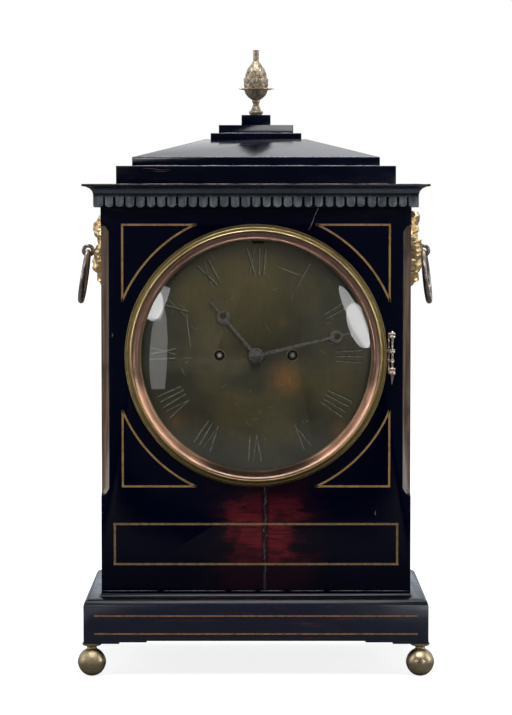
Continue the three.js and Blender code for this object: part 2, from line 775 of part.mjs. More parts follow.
function eyeSolid(sign) {
  const wire = EYE_WIRE / 2;
  const loop = new THREE.TorusGeometry(EYE_HOLE / 2 + wire, wire, 6, 16)
    .rotateX(Math.PI / 2)
    .translate(sign * eyeX, 0, eyeHeight);
  const reach = [
    sign * (side + MASK_DEPTH - SHANK_DEPTH),
    sign * (eyeX - EYE_HOLE / 2 - wire),
  ].sort((a, b) => a - b);
  return join(loop, crossPin(EYE_SHANK / 2, ...reach, 8, 0, eyeHeight));
}

for (const [hand, sign] of [["left", -1], ["right", 1]]) {
  add(`lion_mask_${hand}`, maskSolid(sign), gilt);
  add(`ring_eye_${hand}`, eyeSolid(sign), bronze);
  const mean = (RING_DIAMETER - RING_WIRE) / 2;
  const loop = new THREE.TorusGeometry(mean, RING_WIRE / 2, 6, 24)
    .rotateY(Math.PI / 2)
    .translate(0, 0, -mean);
  const ring = add(`ring_${hand}`, loop, bronze);
  ring.position.set(sign * eyeX, 0, ringHang);
  ring.rotation.y = -sign * THREE.MathUtils.degToRad(RING_TILT);
}

// ---------------------------------------------------------------- bezel and glass
const bezelGroup = new THREE.Group();
bezelGroup.position.z = dialCentre;
clock.add(bezelGroup);
const glassEdge = sightRadius + GLASS_LAP;
const glassBall = (glassEdge ** 2 + GLASS_RISE ** 2) / (2 * GLASS_RISE);
const glassFront = (radius) =>
  GLASS_SEAT + GLASS_RISE - glassBall + Math.sqrt(glassBall ** 2 - radius ** 2);
const hingeY = proud(HINGE_PROUD);
const knuckleLength = HINGE_HEIGHT / 3;

// The bezel's moulded face: shares of its width from the outer edge, and of its height.
const BEZEL_FACE = [
  [0, 0.34], [0.07, 0.46], [0.15, 0.38], [0.24, 0.78], [0.36, 1], [0.46, 0.8], [0.6, 0.55],
  [0.76, 0.58], [1, 0.38],
];

function bezelSolid() {
  const width = bezelRadius - sightRadius;
  const rebate = glassEdge + SEAT_GAP;
  const pairs = [
    [DIAL_RADIUS, -SPIGOT_DEPTH],
    [DIAL_RADIUS, SEAT_GAP],
    [bezelRadius, SEAT_GAP],
    ...BEZEL_FACE.map(([across, up]) => [bezelRadius - across * width, up * BEZEL_PROUD]),
    [sightRadius, glassFront(sightRadius) + SEAT_GAP],
    [rebate, GLASS_SEAT + SEAT_GAP],
    [rebate, -SPIGOT_DEPTH],
    [DIAL_RADIUS, -SPIGOT_DEPTH],
  ];
  const ring = turned(pairs.map(([radius, up]) => [radius, proud(up)]), RIM_SEGMENTS);
  const half = knuckleLength / 2 - SEAT_GAP;
  const lug = block(
    bezelRadius - HINGE_LUG,
    hingeRadius,
    proud(HINGE_PROUD + HINGE_PIN),
    proud(HINGE_PLATE_THICKNESS + 2 * SEAT_GAP),
    -half,
    half,
  );
  const knuckle = post(KNUCKLE_DIAMETER / 2, -half, half, 12, hingeRadius, hingeY);
  const bore = post(HINGE_PIN / 2 + PIVOT_GAP, -half - 1, half + 1, 12, hingeRadius, hingeY);
  return cut(join(ring, lug, knuckle), bore);
}
add("bezel", bezelSolid(), brass, bezelGroup);

function glassGeometry() {
  const rings = 5;
  const outer = [];
  for (let i = 0; i <= rings; i++) {
    const radius = (glassEdge * i) / rings;
    outer.push([radius, proud(glassFront(radius))]);
  }
  const inner = outer.map(([radius, y]) => [radius, y + GLASS_THICKNESS]).reverse();
  return turned([...outer, ...inner], 32);
}
add("bezel_glass", glassGeometry(), clear, bezelGroup);

const sightRingFront = proud(-SPIGOT_DEPTH - SEAT_GAP);
add(
  "sight_ring",
  upright(circle(DIAL_RADIUS, RIM_SEGMENTS), sightRingFront, sightRingFront + SIGHT_RING_THICKNESS, [
    circle(glassEdge - SIGHT_RING_LAP, RIM_SEGMENTS),
  ]),
  brass,
  bezelGroup,
);

// The fixed half of the bezel's hinge: a plate on the case, two knuckles, and the pin with its pointed tail.
function bezelHingeSolid() {
  const half = HINGE_HEIGHT / 2;
  const middle = knuckleLength / 2;
  const pieces = [
    block(
      hingeRadius - HINGE_WEB,
      hingeRadius - HINGE_WEB + HINGE_PLATE_WIDTH,
      proud(HINGE_PLATE_THICKNESS),
      front,
      -half - 2,
      half + 2,
    ),
    post(HINGE_PIN / 2, -half - 1, half + 2, 12, hingeRadius, hingeY),
    turnedUp(
      [[0, -half - HINGE_TAIL], [KNUCKLE_DIAMETER / 2, -half], [0, -half]],
      12,
      hingeRadius,
      hingeY,
    ),
  ];
  for (const [z0, z1] of [[-half, -middle], [middle, half]]) {
    pieces.push(post(KNUCKLE_DIAMETER / 2, z0, z1, 12, hingeRadius, hingeY));
    pieces.push(block(hingeRadius - HINGE_WEB, hingeRadius + HINGE_WEB, hingeY, front, z0, z1));
  }
  return join(...pieces);
}
add("bezel_hinge", bezelHingeSolid(), brass, bezelGroup);

// ---------------------------------------------------------------- dial and hands
const notchOuter = dialCentre + DIAL_RADIUS - NOTCH_RIM;

function dialSolid() {
  const holes = [
    circle(DIAL_CENTRE_HOLE / 2, 16, 0, dialCentre),
    circle(WINDING_HOLE / 2, 16, -WINDING_OFFSET, dialCentre),
    circle(WINDING_HOLE / 2, 16, WINDING_OFFSET, dialCentre),
    [
      new THREE.Vector2(NOTCH_LEFT, notchOuter - NOTCH_HEIGHT),
      new THREE.Vector2(NOTCH_RIGHT, notchOuter - NOTCH_HEIGHT),
      new THREE.Vector2(NOTCH_RIGHT, notchOuter),
      new THREE.Vector2(NOTCH_LEFT, notchOuter),
    ],
  ];
  const disc = upright(circle(DIAL_RADIUS, RIM_SEGMENTS, 0, dialCentre), dialFace, dialBack, holes);
  const feet = [];
  for (const x of [-DIAL_FOOT_SPREAD, DIAL_FOOT_SPREAD])
    for (const z of [dialCentre - DIAL_FOOT_RISE, dialCentre + DIAL_FOOT_RISE])
      feet.push(pin(DIAL_FOOT / 2, dialBack - DIAL_THICKNESS / 2, frontPlateFace, 8, x, z));
  return join(disc, ...feet);
}
add("dial_plate", dialSolid(), dialBrass);

const cannonPipe = ARBOR / 2 + PIVOT_GAP + 0.8;
const hourPipe = cannonPipe + PIVOT_GAP + 1;
const hourHandFront = dialFace - HOUR_HAND_RISE - HAND_THICKNESS;
const minuteHandFront = hourHandFront - HAND_SPACING - HAND_THICKNESS;

// A hand that points to the twelve: a boss, a tapered shaft and a moon pierced off its centre.
function handSolid(length, moonRadius, moon, pipe) {
  const half = HAND_SHAFT / 2;
  const tip = 0.3;
  const shaft = [
    new THREE.Vector2(-half, 0),
    new THREE.Vector2(half, 0),
    new THREE.Vector2(half * 0.7, moonRadius),
    new THREE.Vector2(half * 0.7, moonRadius + moon / 2),
    new THREE.Vector2(tip, length),
    new THREE.Vector2(-tip, length),
    new THREE.Vector2(-half * 0.7, moonRadius + moon / 2),
    new THREE.Vector2(-half * 0.7, moonRadius),
  ];
  const sharp = join(
    pin(HAND_BOSS / 2, 0, HAND_THICKNESS, 20, 0, 0),
    upright(shaft, 0, HAND_THICKNESS),
    pin(moon / 2, 0, HAND_THICKNESS, 20, 0, moonRadius),
  );
  return cut(
    sharp,
    pin(pipe + SEAT_GAP, -1, HAND_THICKNESS + 1, 16, 0, 0),
    pin((moon * MOON_EYE_SHARE) / 2, -1, HAND_THICKNESS + 1, 16, 0, moonRadius + moon * 0.1),
  );
}

function addHand(name, solid, y, angle) {
  const hand = add(name, solid, steel);
  hand.position.set(0, y, dialCentre);
  hand.rotation.y = THREE.MathUtils.degToRad(angle);
}
addHand(
  "hour_hand",
  handSolid(HOUR_HAND_LENGTH, HOUR_MOON_RADIUS, HOUR_MOON, hourPipe),
  hourHandFront,
  HOUR_HAND_ANGLE,
);
addHand(
  "minute_hand",
  handSolid(MINUTE_HAND_LENGTH, MINUTE_MOON_RADIUS, MINUTE_MOON, cannonPipe),
  minuteHandFront,
  MINUTE_HAND_ANGLE,
);

// The domed collet and the taper pin that keep the minute hand on.
const colletBack = minuteHandFront - SEAT_GAP;
const arborTip = colletBack - COLLET_HEIGHT * 0.6;
function colletSolid() {
  const radius = COLLET_DIAMETER / 2;
  const dome = turned(
    [
      [0, colletBack - COLLET_HEIGHT],
      [radius * 0.45, colletBack - COLLET_HEIGHT],
      [radius * 0.85, colletBack - COLLET_HEIGHT * 0.6],
      [radius, colletBack],
      [0, colletBack],
    ],
    16,
    0,
    dialCentre,
  );
  const reach = radius * 1.2;
  const taper = crossPin(COLLET_PIN / 2, -reach, reach, 8, colletBack - COLLET_HEIGHT, dialCentre);
  const bore = pin(ARBOR / 2 + PIVOT_GAP, arborTip - SEAT_GAP, colletBack + 1, 12, 0, dialCentre);
  return cut(join(dome, taper), bore);
}
add("hand_collet", colletSolid(), steel);

// ---------------------------------------------------------------- rear door
const doorLeft = -DOOR_WIDTH / 2;
const doorHingeY = back + LEAF_KNUCKLE / 2 + LEAF_STANDOFF;

const inset = (z0, z1, x0, x1) => [
  new THREE.Vector2(x0, z0),
  new THREE.Vector2(x1, z0),
  new THREE.Vector2(x1, z1),
  new THREE.Vector2(x0, z1),
];

function doorSolid() {
  const rail = DOOR_RAIL;
  const outer = inset(
    doorSill + DOOR_GAP,
    doorHead - DOOR_GAP,
    doorLeft + DOOR_HINGE_GAP,
    -doorLeft - DOOR_GAP,
  );
  const sight = inset(doorSill + rail, doorHead - rail, doorLeft + rail, -doorLeft - rail);
  const edge = rail - DOOR_REBATE;
  return cut(
    solidOf(upright(outer, backInside, back, [sight])),
    block(
      doorLeft + edge,
      -doorLeft - edge,
      backInside - 1,
      backInside + DOOR_REBATE_DEPTH,
      doorSill + edge,
      doorHead - edge,
    ),
  );
}
add("rear_door", doorSolid(), ebonised);

const paneEdge = DOOR_RAIL - DOOR_REBATE + SEAT_GAP;
const paneBack = backInside + DOOR_REBATE_DEPTH - SEAT_GAP;
add(
  "rear_door_glass",
  block(
    doorLeft + paneEdge,
    -doorLeft - paneEdge,
    paneBack - DOOR_GLASS,
    paneBack,
    doorSill + paneEdge,
    doorHead - paneEdge,
  ),
  clear,
);

// One hinge of the rear door: the fixed leaf has the outer knuckles and the pin, the other the middle one.
function leafSolids(middle) {
  const knuckle = LEAF_KNUCKLE / 2;
  const half = LEAF_HEIGHT / 2;
  const third = LEAF_HEIGHT / 6;
  const leafBack = back + LEAF_THICKNESS;
  const clearOfKnuckle = knuckle + LEAF_CLEARANCE;
  const barrel = (z0, z1) => post(knuckle, middle + z0, middle + z1, 12, doorLeft, doorHingeY);
  const between = (x0, x1, y1, z0, z1) =>
    block(doorLeft + x0, doorLeft + x1, back, y1, middle + z0, middle + z1);
  const fixed = [
    between(-LEAF_WIDTH, -clearOfKnuckle, leafBack, -half, half),
    post(LEAF_PIN / 2, middle - half, middle + half, 12, doorLeft, doorHingeY),
  ];
  for (const [z0, z1] of [[-half, -third], [third, half]]) {
    fixed.push(barrel(z0, z1));
    fixed.push(between(-clearOfKnuckle, -LEAF_CLEARANCE, doorHingeY, z0, z1));
  }
  const gap = third - SEAT_GAP;
  const moving = join(
    between(clearOfKnuckle, LEAF_WIDTH, leafBack, -half, half),
    barrel(-gap, gap),
    between(LEAF_CLEARANCE, clearOfKnuckle, doorHingeY, -gap, gap),
  );
  const bore = post(LEAF_PIN / 2 + PIVOT_GAP, middle - half, middle + half, 12, doorLeft, doorHingeY);
  return [join(...fixed), cut(moving, bore)];
}
for (const [name, height] of [["upper", doorHead - LEAF_INSET], ["lower", doorSill + LEAF_INSET]]) {
  const [fixed, moving] = leafSolids(height);
  add(`rear_hinge_${name}`, fixed, brass);
  add(`door_leaf_${name}`, moving, brass);
}

// ---------------------------------------------------------------- movement: where the arbors stand
const meshing = (module, wheel, pinion) => (module * (wheel + pinion)) / 2;
const heading = ([x0, z0], [x1, z1]) => Math.atan2(z1 - z0, x1 - x0);
const greatModule = (2 * WINDING_OFFSET) / (GREAT_WHEEL_TEETH + GREAT_PINION_LEAVES);
const thirdReach = meshing(TRAIN_MODULE, TRAIN_WHEEL_TEETH, SMALL_PINION_LEAVES);
const escapeReach = meshing(FAST_MODULE, TRAIN_WHEEL_TEETH, SMALL_PINION_LEAVES);
const minuteReach = meshing(TRAIN_MODULE, CANNON_TEETH, MINUTE_WHEEL_TEETH);
const hourModule = (2 * minuteReach) / (HOUR_PINION_LEAVES + HOUR_WHEEL_TEETH);
const from = ([x, z], degrees, reach) => {
  const point = polar(THREE.MathUtils.degToRad(degrees), reach, x, z);
  return [point.x, point.y];
};
const centreArbor = [0, dialCentre];
const goingFusee = [WINDING_OFFSET, dialCentre];
const strikeFusee = [-WINDING_OFFSET, dialCentre];
const thirdArbor = [THIRD_OFFSET, dialCentre + Math.sqrt(thirdReach ** 2 - THIRD_OFFSET ** 2)];
const escapeArbor = [0, thirdArbor[1] + Math.sqrt(escapeReach ** 2 - THIRD_OFFSET ** 2)];
const anchorArbor = [0, escapeArbor[1] + ANCHOR_RISE];
const pinArbor = [-WINDING_OFFSET, dialCentre + WINDING_OFFSET];
const gatheringArbor = from(
  pinArbor,
  GATHERING_ANGLE,
  meshing(TRAIN_MODULE, PIN_WHEEL_TEETH, SMALL_PINION_LEAVES),
);
const flyArbor = from(
  gatheringArbor,
  FLY_ANGLE,
  meshing(FAST_MODULE, GATHERING_WHEEL_TEETH, SMALL_PINION_LEAVES),
);
const minuteArbor = [0, dialCentre - minuteReach];
const hammerArbor = [-HAMMER_OFFSET, dialCentre + HAMMER_RISE];
const goingBarrel = [BARREL_OFFSET, dialCentre - BARREL_DROP];
const strikeBarrel = [-BARREL_OFFSET, dialCentre - BARREL_DROP];

const plane = (distance) => frontPlateBack + distance;
const bellY = plane(HAMMER_PLANE) + HAMMER_ARM / 2;

// ---------------------------------------------------------------- movement: pieces
// A wheel or pinion with plain pointed teeth, one of them at the angle phase.
function gear(teeth, module, y0, y1, [x, z], phase = 0, holes = []) {
  const pitch = (module * teeth) / 2;
  const points = [];
  for (let k = 0; k < teeth; k++) {
    const angle = phase + (2 * Math.PI * k) / teeth;
    points.push(polar(angle, pitch + ADDENDUM * module, x, z));
    points.push(polar(angle + Math.PI / teeth, pitch - DEDENDUM * module, x, z));
  }
  return upright(points, y0, y1, holes);
}

const wheel = (teeth, module, place, distance, phase) =>
  gear(teeth, module, plane(distance), plane(distance) + WHEEL_THICKNESS, place, phase);

// A pinion level with the wheel that drives it, with a space turned to that wheel's tooth.
function pinion(leaves, module, place, driver, distance, thickness = WHEEL_THICKNESS) {
  const middle = plane(distance) + thickness / 2;
  const phase = heading(driver, place) + Math.PI + Math.PI / leaves;
  const half = PINION_THICKNESS / 2;
  return gear(leaves, module, middle - half, middle + half, place, phase);
}

const greatPinion = (place, driver, distance) =>
  pinion(GREAT_PINION_LEAVES, greatModule, place, driver, distance, GREAT_WHEEL_THICKNESS);

const shoulderFront = frontPlateBack + SEAT_GAP;
const shoulderBack = backPlateFace - SEAT_GAP;
const pivotFront = frontPlateFace + SEAT_GAP;
const pivotBack = backPlateBack - SEAT_GAP;

function arbor([x, z]) {
  const pairs = [
    [0, pivotFront],
    [PIVOT / 2, pivotFront],
    [PIVOT / 2, shoulderFront],
    [ARBOR / 2, shoulderFront],
    [ARBOR / 2, shoulderBack],
    [PIVOT / 2, shoulderBack],
    [PIVOT / 2, pivotBack],
    [0, pivotBack],
  ];
  return turned(pairs, 8, x, z);
}

// A fusee's cone with its great wheel at that distance, and its arbor with the winding square.
function fuseeSolid(place, driven, distance) {
  const [x, z] = place;
  const start = plane(distance);
  const cone = start + GREAT_WHEEL_THICKNESS;
  const steps = 4;
  const pairs = [[0, cone - 1]];
  for (let i = 0; i <= steps; i++) {
    const share = i / steps;
    const radius = 0.5 / (share / FUSEE_SMALL + (1 - share) / FUSEE_LARGE);
    pairs.push([radius, cone + FUSEE_LENGTH * share - (i === 0 ? 1 : 0)]);
  }
  pairs.push([0, cone + FUSEE_LENGTH]);
  const half = WINDING_SQUARE / 2;
  return join(
    gear(GREAT_WHEEL_TEETH, greatModule, start, cone, place, heading(place, driven)),
    turned(pairs, 16, x, z),
    pin(FUSEE_PIVOT / 2, frontPlateFace - 1, pivotBack, 12, x, z),
    block(x - half, x + half, dialBack + SQUARE_SETBACK, frontPlateFace, z - half, z + half),
  );
}
add("going_fusee", fuseeSolid(goingFusee, centreArbor, GREAT_WHEEL_PLANE), brass);
add("strike_fusee", fuseeSolid(strikeFusee, pinArbor, STRIKE_WHEEL_PLANE), brass);

for (const [name, [x, z]] of [["going_barrel", goingBarrel], ["strike_barrel", strikeBarrel]]) {
  const start = plane(GREAT_WHEEL_PLANE + GREAT_WHEEL_THICKNESS);
  add(
    name,
    join(
      pin(BARREL_DIAMETER / 2, start, start + BARREL_LENGTH, 20, x, z),
      pin(FUSEE_PIVOT / 2, pivotFront, pivotBack, 12, x, z),
    ),
    brass,
  );
}

add(
  "centre_wheel",
  join(
    turned(
      [
        [0, arborTip],
        [ARBOR / 2, arborTip],
        [ARBOR / 2, shoulderBack],
        [PIVOT / 2, shoulderBack],
        [PIVOT / 2, pivotBack],
        [0, pivotBack],
      ],
      8,
      ...centreArbor,
    ),
    greatPinion(centreArbor, goingFusee, GREAT_WHEEL_PLANE),
    wheel(
      TRAIN_WHEEL_TEETH,
      TRAIN_MODULE,
      centreArbor,
      CENTRE_WHEEL_PLANE,
      heading(centreArbor, thirdArbor),
    ),
  ),
  brass,
);
add(
  "third_wheel",
  join(
    arbor(thirdArbor),
    pinion(SMALL_PINION_LEAVES, TRAIN_MODULE, thirdArbor, centreArbor, CENTRE_WHEEL_PLANE),
    wheel(
      TRAIN_WHEEL_TEETH,
      FAST_MODULE,
      thirdArbor,
      THIRD_WHEEL_PLANE,
      heading(thirdArbor, escapeArbor),
    ),
  ),
  brass,
);

function escapeOutline() {
  const [x, z] = escapeArbor;
  const points = [];
  for (let k = 0; k < ESCAPE_TEETH; k++) {
    const pitch = (2 * Math.PI) / ESCAPE_TEETH;
    points.push(polar(k * pitch, ESCAPE_RADIUS, x, z));
    points.push(polar((k + ESCAPE_RAKE) * pitch, ESCAPE_RADIUS * ESCAPE_ROOT, x, z));
  }
  return points;
}
add(
  "escape_wheel",
  join(
    arbor(escapeArbor),
    pinion(SMALL_PINION_LEAVES, FAST_MODULE, escapeArbor, thirdArbor, THIRD_WHEEL_PLANE),
    upright(escapeOutline(), plane(ESCAPE_WHEEL_PLANE), plane(ESCAPE_WHEEL_PLANE) + WHEEL_THICKNESS),
  ),
  brass,
);

// The back cock stands on two feet behind the back plate, for the anchor's rear pivot and the pendulum.
const cockFace = backPlateBack + COCK_RISE;
const cockBack = cockFace + COCK_THICKNESS;

function anchorSolid() {
  const [x, z] = anchorArbor;
  const pallet = polar(Math.PI / 4, ESCAPE_RADIUS + PALLET_CLEARANCE, ...escapeArbor);
  const drop = pallet.y - z;
  const half = [
    [3, 3],
    [pallet.x + 2.4, drop + 3],
    [pallet.x + 2.4, drop - 1],
    [pallet.x, drop],
    [pallet.x - 1.6, drop + 3.2],
    [3, -2.6],
  ];
  const mirrored = half.map(([u, v]) => [-u, v]).reverse();
  const outline = [...half, ...mirrored].map(([u, v]) => new THREE.Vector2(x + u, z + v));
  const pallets = plane(ESCAPE_WHEEL_PLANE);
  const crutchFace = backPlateBack + CRUTCH_STANDOFF;
  const crutchBack = crutchFace + CRUTCH_THICKNESS;
  const bar = HAND_SHAFT / 2;
  const slot = ROD_DIAMETER / 2 + SEAT_GAP + 0.2;
  const prong = slot + CRUTCH_THICKNESS;
  const fork = z - CRUTCH_LENGTH;
  const forkFoot = fork - FORK_DEPTH;
  const forkBack = rodPlace + ROD_DIAMETER;
  return join(
    turned(
      [
        [0, pivotFront],
        [PIVOT / 2, pivotFront],
        [PIVOT / 2, shoulderFront],
        [ARBOR / 2, shoulderFront],
        [ARBOR / 2, cockFace - SEAT_GAP],
        [PIVOT / 2, cockFace - SEAT_GAP],
        [PIVOT / 2, cockBack],
        [0, cockBack],
      ],
      8,
      x,
      z,
    ),
    upright(outline, pallets, pallets + WHEEL_THICKNESS),
    block(x - bar, x + bar, crutchFace, crutchBack, fork, z),
    block(x - prong, x + prong, crutchFace, crutchBack, forkFoot, fork + 1),
    block(x - prong, x - slot, crutchFace, forkBack, forkFoot, fork),
    block(x + slot, x + prong, crutchFace, forkBack, forkFoot, fork),
  );
}
add("anchor", anchorSolid(), steel);

function backCockSolid() {
  const [x, z] = anchorArbor;
  const half = COCK_SPAN / 2;
  const low = z - COCK_HALF_HEIGHT;
  const high = z + COCK_HALF_HEIGHT;
  const hang = SUSPENSION_BLOCK / 2;
  return cut(
    join(
      block(x - half, x + half, cockFace, cockBack, low, high),
      block(x - half, x - half + COCK_FOOT, backPlateBack, cockFace + 1, low, high),
      block(x + half - COCK_FOOT, x + half, backPlateBack, cockFace + 1, low, high),
      block(x - hang, x + hang, cockBack - 1, rodPlace + ROD_DIAMETER, z + SUSPENSION_RISE, high),
    ),
    pin(PIVOT / 2 + PIVOT_GAP, cockFace - 1, cockBack + 1, 8, x, z),
  );
}
add("back_cock", backCockSolid(), brass);

function pendulumSolid() {
  const [x, z] = anchorArbor;
  const bob = z - PENDULUM_LENGTH;
  const half = BOB_THICKNESS / 2;
  const radius = BOB_DIAMETER / 2;
  return join(
    post(ROD_DIAMETER / 2, bob - radius - 8, z + SUSPENSION_RISE - SEAT_GAP, 8, x, rodPlace),
    turned(
      [
        [0, rodPlace - half],
        [radius * 0.5, rodPlace - half * 0.85],
        [radius * 0.85, rodPlace - half * 0.45],
        [radius, rodPlace],
        [radius * 0.85, rodPlace + half * 0.45],
        [radius * 0.5, rodPlace + half * 0.85],
        [0, rodPlace + half],
      ],
      20,
      x,
      bob,
    ),
    post(RATING_NUT / 2, bob - radius - 5, bob - radius - 2, 10, x, rodPlace),
  );
}
add("pendulum", pendulumSolid(), brass);

// Motion work: the cannon pinion carries the minute hand, the hour wheel's pipe the hour hand.
const motionFace = frontPlateFace - MOTION_PLANE;
const hourFace = frontPlateFace - HOUR_WHEEL_PLANE;
add(
  "cannon_pinion",
  cut(
    join(
      gear(
        CANNON_TEETH,
        TRAIN_MODULE,
        motionFace,
        frontPlateFace - SEAT_GAP,
        centreArbor,
        heading(centreArbor, minuteArbor) + Math.PI / CANNON_TEETH,
      ),
      pin(cannonPipe, minuteHandFront, motionFace + 1, 16, ...centreArbor),
    ),
    pin(ARBOR / 2 + PIVOT_GAP, minuteHandFront - 1, frontPlateFace + 1, 12, ...centreArbor),
  ),
  brass,
);
add(
  "minute_wheel",
  cut(
    join(
      gear(
        MINUTE_WHEEL_TEETH,
        TRAIN_MODULE,
        motionFace,
        motionFace + WHEEL_THICKNESS,
        minuteArbor,
        heading(minuteArbor, centreArbor),
      ),
      gear(
        HOUR_PINION_LEAVES,
        hourModule,
        hourFace - 1,
        motionFace + WHEEL_THICKNESS,
        minuteArbor,
        heading(minuteArbor, centreArbor) + Math.PI / HOUR_PINION_LEAVES,
      ),
    ),
    pin(STUD / 2 + PIVOT_GAP, hourFace - 2, frontPlateFace, 8, ...minuteArbor),
  ),
  brass,
);
add(
  "hour_wheel",
  cut(
    join(
      gear(
        HOUR_WHEEL_TEETH,
        hourModule,
        hourFace,
        hourFace + WHEEL_THICKNESS,
        centreArbor,
        heading(centreArbor, minuteArbor),
      ),
      pin(hourPipe, hourHandFront, hourFace + 1, 16, ...centreArbor),
    ),
    pin(cannonPipe + PIVOT_GAP, hourHandFront - 1, frontPlateFace, 16, ...centreArbor),
  ),
  brass,
);

// Strike train.
function pinWheelSolid() {
  const pins = [];
  const y = plane(PIN_WHEEL_PLANE);
  const reach = TRAIN_MODULE * PIN_WHEEL_TEETH * 0.4;
  for (let k = 0; k < STRIKE_PINS; k++) {
    const [x, z] = from(pinArbor, (360 * k) / STRIKE_PINS, reach);
    pins.push(pin(STRIKE_PIN / 2, y - 3, y + 1, 6, x, z));
  }
  return join(
    arbor(pinArbor),
    greatPinion(pinArbor, strikeFusee, STRIKE_WHEEL_PLANE),
    wheel(
      PIN_WHEEL_TEETH,
      TRAIN_MODULE,
      pinArbor,
      PIN_WHEEL_PLANE,
      heading(pinArbor, gatheringArbor),
    ),
    ...pins,
  );
}
add("pin_wheel", pinWheelSolid(), brass);
add(
  "gathering_wheel",
  join(
    arbor(gatheringArbor),
    pinion(SMALL_PINION_LEAVES, TRAIN_MODULE, gatheringArbor, pinArbor, PIN_WHEEL_PLANE),
    wheel(
      GATHERING_WHEEL_TEETH,
      FAST_MODULE,
      gatheringArbor,
      GATHERING_WHEEL_PLANE,
      heading(gatheringArbor, flyArbor),
    ),
  ),
  brass,
);

add(
  "fly",
  join(
    arbor(flyArbor),
    pinion(SMALL_PINION_LEAVES, FAST_MODULE, flyArbor, gatheringArbor, GATHERING_WHEEL_PLANE),
    block(
      flyArbor[0] - FLY_RADIUS,
      flyArbor[0] + FLY_RADIUS,
      plane(FLY_PLANE),
      plane(FLY_PLANE) + FLY_LENGTH,
      flyArbor[1] - FLY_THICKNESS / 2,
      flyArbor[1] + FLY_THICKNESS / 2,
    ),
  ),
  brass,
);

// The bell hangs mouth down over the plates, on an arm from the back plate; the hammer strikes its rim.
const bellMouth = plateTop + BELL_LIFT;
const bellCrown = bellMouth + BELL_HEIGHT;
const BELL_PROFILE = [[1, 0], [0.97, 0.16], [0.89, 0.42], [0.74, 0.69], [0.5, 0.9], [0.24, 1]];

function bellGeometry() {
  const radius = BELL_DIAMETER / 2;
  const inner = radius - BELL_WALL;
  const outside = BELL_PROFILE.map(([r, h]) => [r * radius, bellMouth + h * BELL_HEIGHT]);
  const inside = BELL_PROFILE.map(([r, h]) => [r * inner, bellMouth + h * (BELL_HEIGHT - BELL_WALL)]);
  const pairs = [
    ...outside,
    [BELL_HOLE / 2, bellCrown],
    [BELL_HOLE / 2, bellCrown - BELL_WALL],
    ...inside.reverse(),
    outside[0],
  ];
  return turnedUp(pairs, 24, 0, bellY);
}
add("bell", bellGeometry(), bellMetal);

function bellStandSolid() {
  const arm = bellCrown + STAND_CLEARANCE;
  const armTop = arm + STAND_THICKNESS;
  const half = STAND_WIDTH / 2;
  const far = STAND_OFFSET + STAND_WIDTH;
  const armBack = backPlateBack + STAND_THICKNESS;
  const crownInside = bellCrown - BELL_WALL;
  return join(
    block(STAND_OFFSET, far, backPlateBack, armBack, plateTop - STAND_FOOT, armTop),
    block(-half, far, backPlateBack, armBack, arm, armTop),
    block(-half, half, bellY - half, armBack, arm, armTop),
    post(BELL_HOLE / 2 - PIVOT_GAP, crownInside - 2, arm + 1, 10, 0, bellY),
    post(BELL_HOLE, crownInside - 2, crownInside - SEAT_GAP, 12, 0, bellY),
    post(BELL_HOLE, bellCrown + SEAT_GAP, arm + 1, 12, 0, bellY),
  );
}
add("bell_stand", bellStandSolid(), steel);

function hammerSolid() {
  const [x, z] = hammerArbor;
  const y = plane(HAMMER_PLANE);
  const head = z + HAMMER_LENGTH;
  const strike = -BELL_DIAMETER / 2 - HAMMER_REST;
  const arm = [
    new THREE.Vector2(x - 1.5, z - HAMMER_TAIL),
    new THREE.Vector2(x + 1.5, z - HAMMER_TAIL),
    new THREE.Vector2(x + 2, z),
    new THREE.Vector2(x + 2.6, head),
    new THREE.Vector2(x, head),
    new THREE.Vector2(x - 2, z),
  ];
  return join(
    arbor(hammerArbor),
    upright(arm, y, y + HAMMER_ARM),
    crossPin(HAMMER_HEAD / 2, strike - HAMMER_HEAD, strike, 12, bellY, head - 1),
  );
}
add("hammer", hammerSolid(), steel);

// ---------------------------------------------------------------- movement: plates
const seatTopPlate = (halfWidth) => framed(halfWidth, seatTop, plateTop);
const pivotHole = (radius, [x, z]) => circle(radius + PIVOT_GAP, 8, x, z);
const lightArbors = [thirdArbor, escapeArbor, pinArbor, gatheringArbor, flyArbor, hammerArbor];
const heavyArbors = [goingFusee, strikeFusee, goingBarrel, strikeBarrel];
const sharedHoles = () => [
  ...lightArbors.map((place) => pivotHole(PIVOT / 2, place)),
  ...heavyArbors.map(([x, z]) => circle(FUSEE_PIVOT / 2 + PIVOT_GAP, 12, x, z)),
];

add(
  "front_plate",
  join(
    upright(seatTopPlate(PLATE_WIDTH / 2), frontPlateFace, frontPlateBack, [
      ...sharedHoles(),
      pivotHole(PIVOT / 2, anchorArbor),
      pivotHole(ARBOR / 2, centreArbor),
    ]),
    pin(STUD / 2, hourFace - 1.5, frontPlateFace + 1, 8, ...minuteArbor),
  ),
  brass,
);

const pillars = [];
for (const x of [PILLAR_INSET - PLATE_WIDTH / 2, PLATE_WIDTH / 2 - PILLAR_INSET])
  for (const z of [seatTop + PILLAR_INSET, plateTop - PILLAR_INSET])
    pillars.push(pin(PILLAR_DIAMETER / 2, frontPlateBack, backPlateFace + 1, 10, x, z));
add(
  "back_plate",
  join(
    upright(seatTopPlate(PLATE_WIDTH / 2), backPlateFace, backPlateBack, [
      ...sharedHoles(),
      pivotHole(ARBOR / 2, anchorArbor),
      pivotHole(PIVOT / 2, centreArbor),
    ]),
    ...pillars,
  ),
  brass,
);

export default clock;
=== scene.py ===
"""The looks of a bracket clock in an ebonised case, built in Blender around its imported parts."""

import random
from math import atan2, cos, degrees, exp, hypot, pi, radians, sin, sqrt, tau

import bpy
from mathutils import Matrix, Vector


